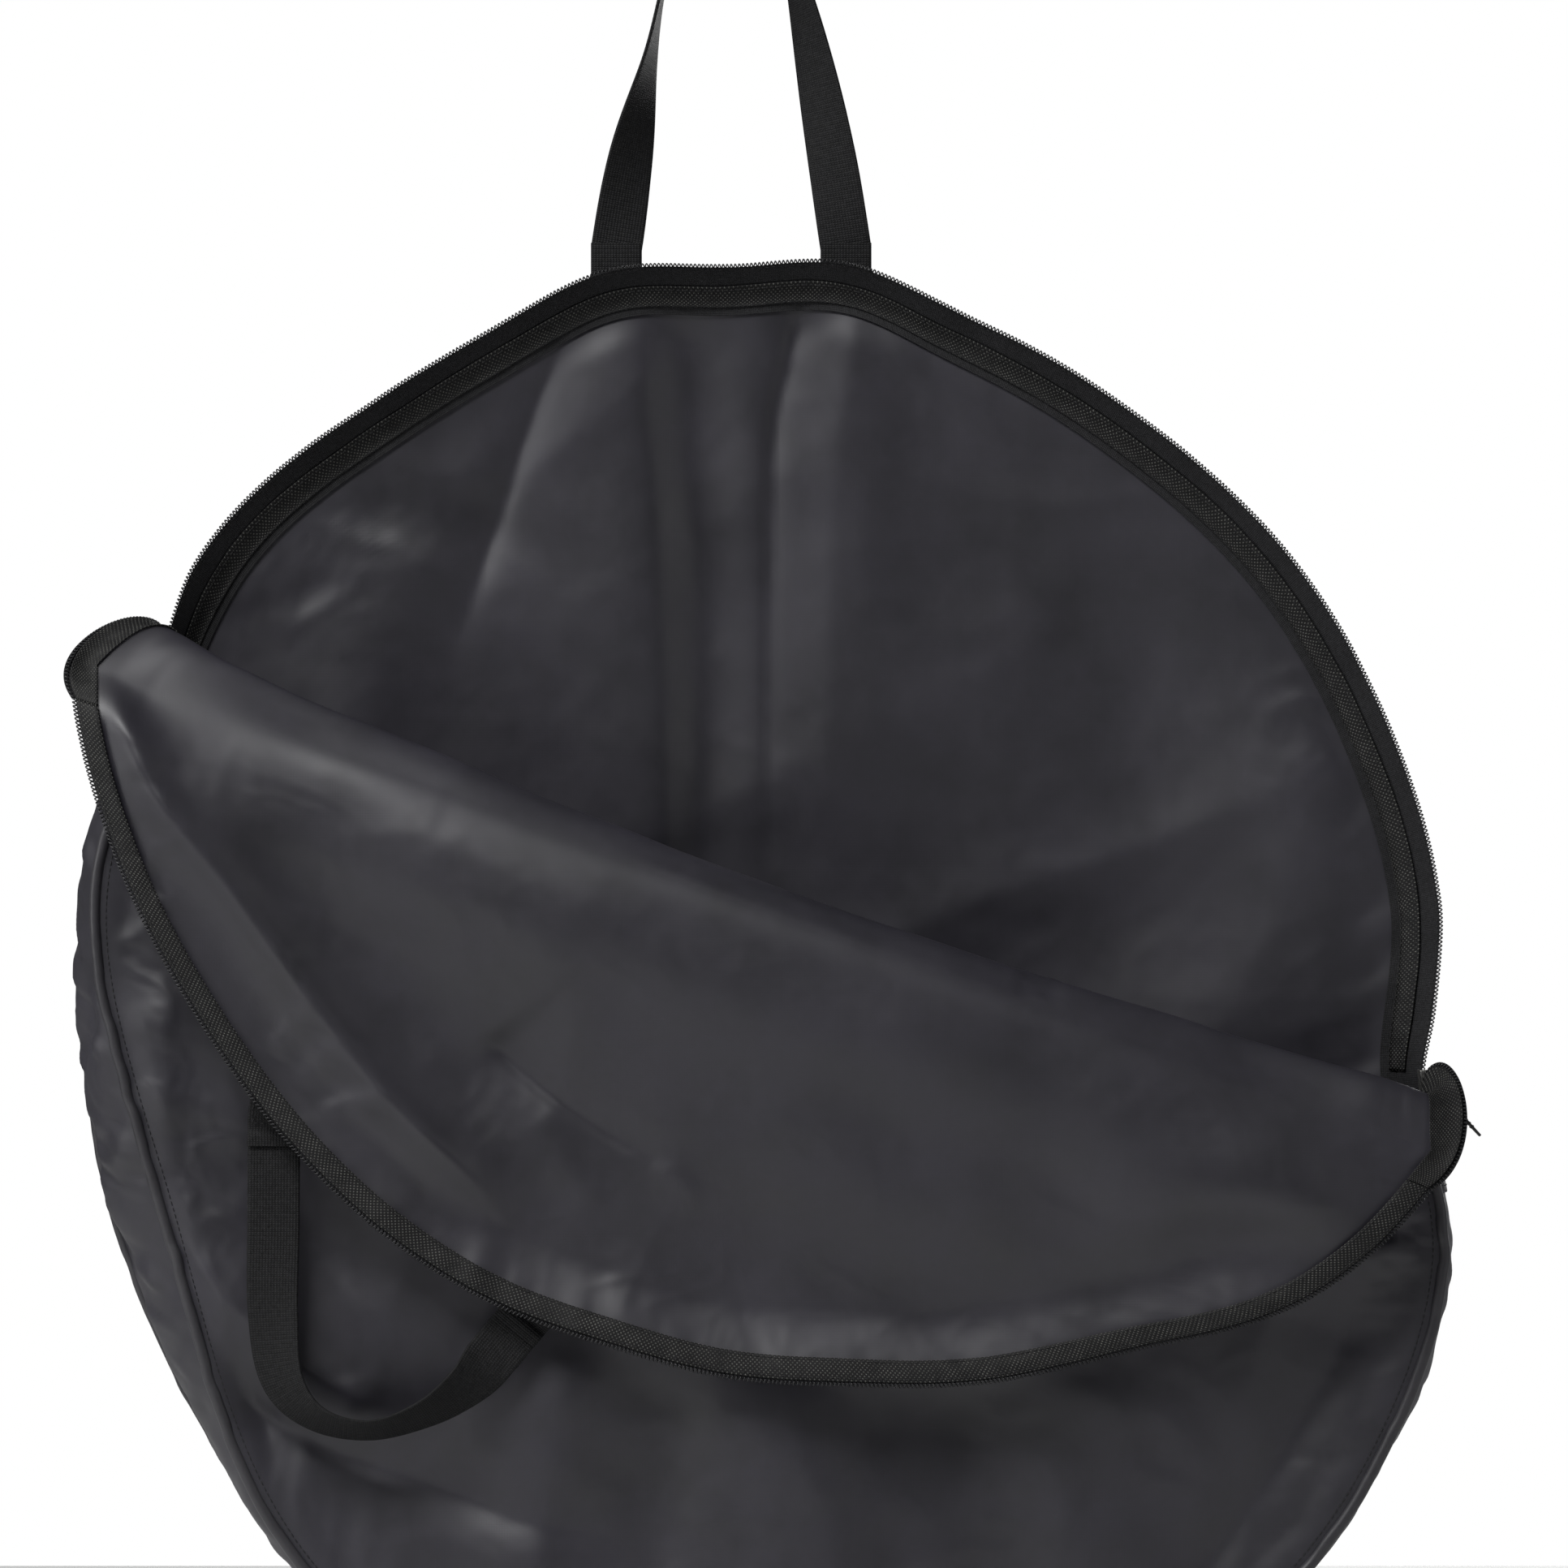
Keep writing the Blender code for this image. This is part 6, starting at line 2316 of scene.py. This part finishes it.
    def front(self) -> None:
        """Makes the front handle, which hangs from behind the flap."""
        strap = np.array([math.cos(self.strap_turn), 0.0, math.sin(self.strap_turn)])
        hinges = []
        for angle in (self.front_left, self.front_right):
            radius = SHAPE.flap_radius(np.array(angle)) + self.front_play
            side, rise = SHAPE.around_fold(radius, angle)
            hinges.append(stack(side, SHAPE.flap_depth(side, rise) + self.strap_offset, rise))
        left, right = hinges
        for side, hinge in (("left", left), ("right", right)):
            distance = np.linspace(-self.front_over, self.sewn, self.samples)
            turned = smooth(*self.front_bend, distance)[:, None] if side == "left" else 1.0
            course = unit(strap * turned + np.array([0.0, 0.0, 1.0]) * (1.0 - turned))
            course = course * np.ones((self.samples, 1))
            line = hinge + np.cumsum(course, axis=0) * (distance[1] - distance[0])
            line = line - course[0] * self.front_over
            plain = SHAPE.flap_depth(line[:, 0], line[:, 2])
            across = stack(course[:, 2], 0.0, -course[:, 0])
            sides = [line + across * self.width * share for share in (-0.5, -0.25, 0.0, 0.25, 0.5)]
            faces = [FLAP_DRAPE.face(edge[:, 0], edge[:, 2]) for edge in sides]
            dressed = np.maximum(np.max(faces, axis=0), plain - self.front_sink)
            inward = smooth(*self.front_ease, distance)
            lapped = (self.thickness + self.play) * (1.0 - smooth(0.0, self.front_lap, distance))
            line[:, 1] = plain + (dressed - plain) * inward + self.strap_offset - lapped
            name = f"strap_front_{side}"
            rails = self.webbing(name, line, across, "flap", f"handle_front_end_{side}")
            self.box_stitch(f"{name}_thread", rails, "flap")
        path = self.front_path + ((1.0, float(left[2] - right[2]) / self.front_drop),)

        def on_loop(share: Points, along: Points) -> Points:
            """Places the loop's path."""
            ends = left[1] + (right[1] - left[1]) * along
            swell = self.front_depth - (left[1] + right[1]) / 2.0
            depth = ends + swell * np.sin(HALF_TURN * along)
            side = left[0] + (right[0] - left[0]) * share[:, 0]
            return stack(side, depth, left[2] - self.front_drop * share[:, 1])

        line, across = self.loop(on_loop, path, self.front_twist)
        self.webbing("strap_front_loop", line, across, "front_handle", "handle_front_loop")

    def build(self) -> None:
        """Makes both handles."""
        self.back()
        self.front()


# --- The studio ---


@dataclass(frozen=True)
class Studio:
    """A pale floor, soft lights and the camera at the photograph's angle."""

    floor_rise: float = -1.12
    floor_size: float = 3.0
    eye: Triple = (0.029, -3.03, -0.480)
    lens: float = 127.06
    room_front: float = 0.09
    room_behind: float = 0.12
    sheet_gloss: float = 0.3
    lamps: tuple[tuple[str, Triple, tuple[float, float], float], ...] = (
        ("key", (-1.15, -1.80, 1.7), (1.7, 1.0), 86.0),
        ("side_left", (-2.6, -0.9, 0.0), (1.2, 2.0), 30.0),
        ("behind", (0.9, 2.4, -0.2), (1.8, 1.2), 28.0),
        ("side_right", (2.5, -1.0, -0.1), (0.9, 1.8), 8.0),
    )

    def camera(self) -> None:
        """Sets the camera, level and square to the bag."""
        data = bpy.data.cameras.new("camera")
        data.lens = self.lens
        data.sensor_width = 36.0
        made = bpy.data.objects.new("camera", data)
        made.location = self.eye
        made.rotation_euler = (HALF_TURN / 2.0, 0.0, 0.0)
        bpy.context.scene.collection.objects.link(made)
        bpy.context.scene.camera = made

    def light(self, name: str, place: Triple, size: tuple[float, float], power: float) -> None:
        """Adds one softbox that faces the bag.

        Args:
            name: Its name.
            place: Where it stands.
            size: Its width and height.
            power: Its power in watts.
        """
        data = bpy.data.lights.new(name, "AREA")
        data.shape = "RECTANGLE"
        data.size, data.size_y = size
        data.energy = power
        made = bpy.data.objects.new(name, data)
        made.location = place
        aim = Vector((0.0, 0.0, SHAPE.centre[2])) - Vector(place)
        made.rotation_euler = aim.to_track_quat("-Z", "Y").to_euler()
        bpy.context.scene.collection.objects.link(made)

    def world(self) -> None:
        """A white background, in a dim grey room that is a little lighter behind the bag.

        Gloss shows the white only straight behind the bag, as a sheet would in a studio.
        """
        made = bpy.data.worlds.new("studio")
        made.use_nodes = True
        tree = made.node_tree
        tree.nodes.clear()
        ray = add_node(tree, "LightPath").outputs
        place = add_node(tree, "TexCoord")
        behind = add_node(tree, "SeparateXYZ", {0: place.outputs["Generated"]}).outputs["Y"]
        room = add_node(tree, "MapRange", {
            "Value": behind, "From Min": -0.6, "From Max": 0.5,
            "To Min": self.room_front, "To Max": self.room_behind})
        sheet = add_node(tree, "MapRange", {
            "Value": behind, "From Min": 0.93, "From Max": 0.99, "To Max": self.sheet_gloss})
        gloss = add_node(tree, "Math", {0: ray["Is Glossy Ray"], 1: sheet}, operation="MULTIPLY")
        clear = add_node(tree, "Math", {
            0: ray["Is Camera Ray"], 1: ray["Is Transmission Ray"]}, operation="MAXIMUM")
        seen = add_node(tree, "Math", {0: clear, 1: gloss}, operation="MAXIMUM")
        fill = add_node(tree, "Background", {"Color": (0.96, 0.97, 1.0, 1.0), "Strength": room})
        white = add_node(tree, "Background", {"Color": (1.0, 1.0, 1.0, 1.0), "Strength": 1.0})
        mix = add_node(tree, "MixShader", {0: seen, 1: fill, 2: white})
        add_node(tree, "OutputWorld", {"Surface": mix})
        bpy.context.scene.world = made

    def floor(self) -> None:
        """A pale painted floor below the hanging bag."""
        bpy.ops.object.select_all(action="DESELECT")
        bpy.ops.mesh.primitive_grid_add(
            x_subdivisions=8, y_subdivisions=8, size=self.floor_size,
            location=(0.0, 0.0, self.floor_rise))
        made = bpy.context.object
        made.name = "studio_floor"
        bpy.ops.object.transform_apply(location=True, rotation=True, scale=True)
        look = bpy.data.materials.new("matt_paint_floor")
        look.use_nodes = True
        feed(look.node_tree, look.node_tree.nodes["Principled BSDF"], {
            "Base Color": linear("#e9e9e8"), "Roughness": 0.9, "Specular IOR Level": 0.1})
        made.data.materials.append(look)

    def build(self) -> None:
        """Sets up the whole studio."""
        self.camera()
        self.world()
        self.floor()
        for lamp in self.lamps:
            self.light(*lamp)


def main() -> None:
    """Builds the studio and the bag in order."""
    logging.basicConfig(level=logging.INFO, format="%(name)s: %(message)s")
    Studio().build()
    wardrobe = Wardrobe()
    BackPanel(wardrobe).build()
    FoldedFront(wardrobe).build()
    Gusset(wardrobe).build()
    Zip(wardrobe).build()
    ZipSlider(wardrobe, End.RIGHT, SHAPE.slider_right, math.radians(38.0)).build()
    ZipSlider(wardrobe, End.LEFT, SHAPE.slider_left, math.radians(20.0)).build()
    Handles(wardrobe).build()
    bpy.context.scene.view_settings.view_transform = "Standard"


if __name__ == "__main__":
    main()
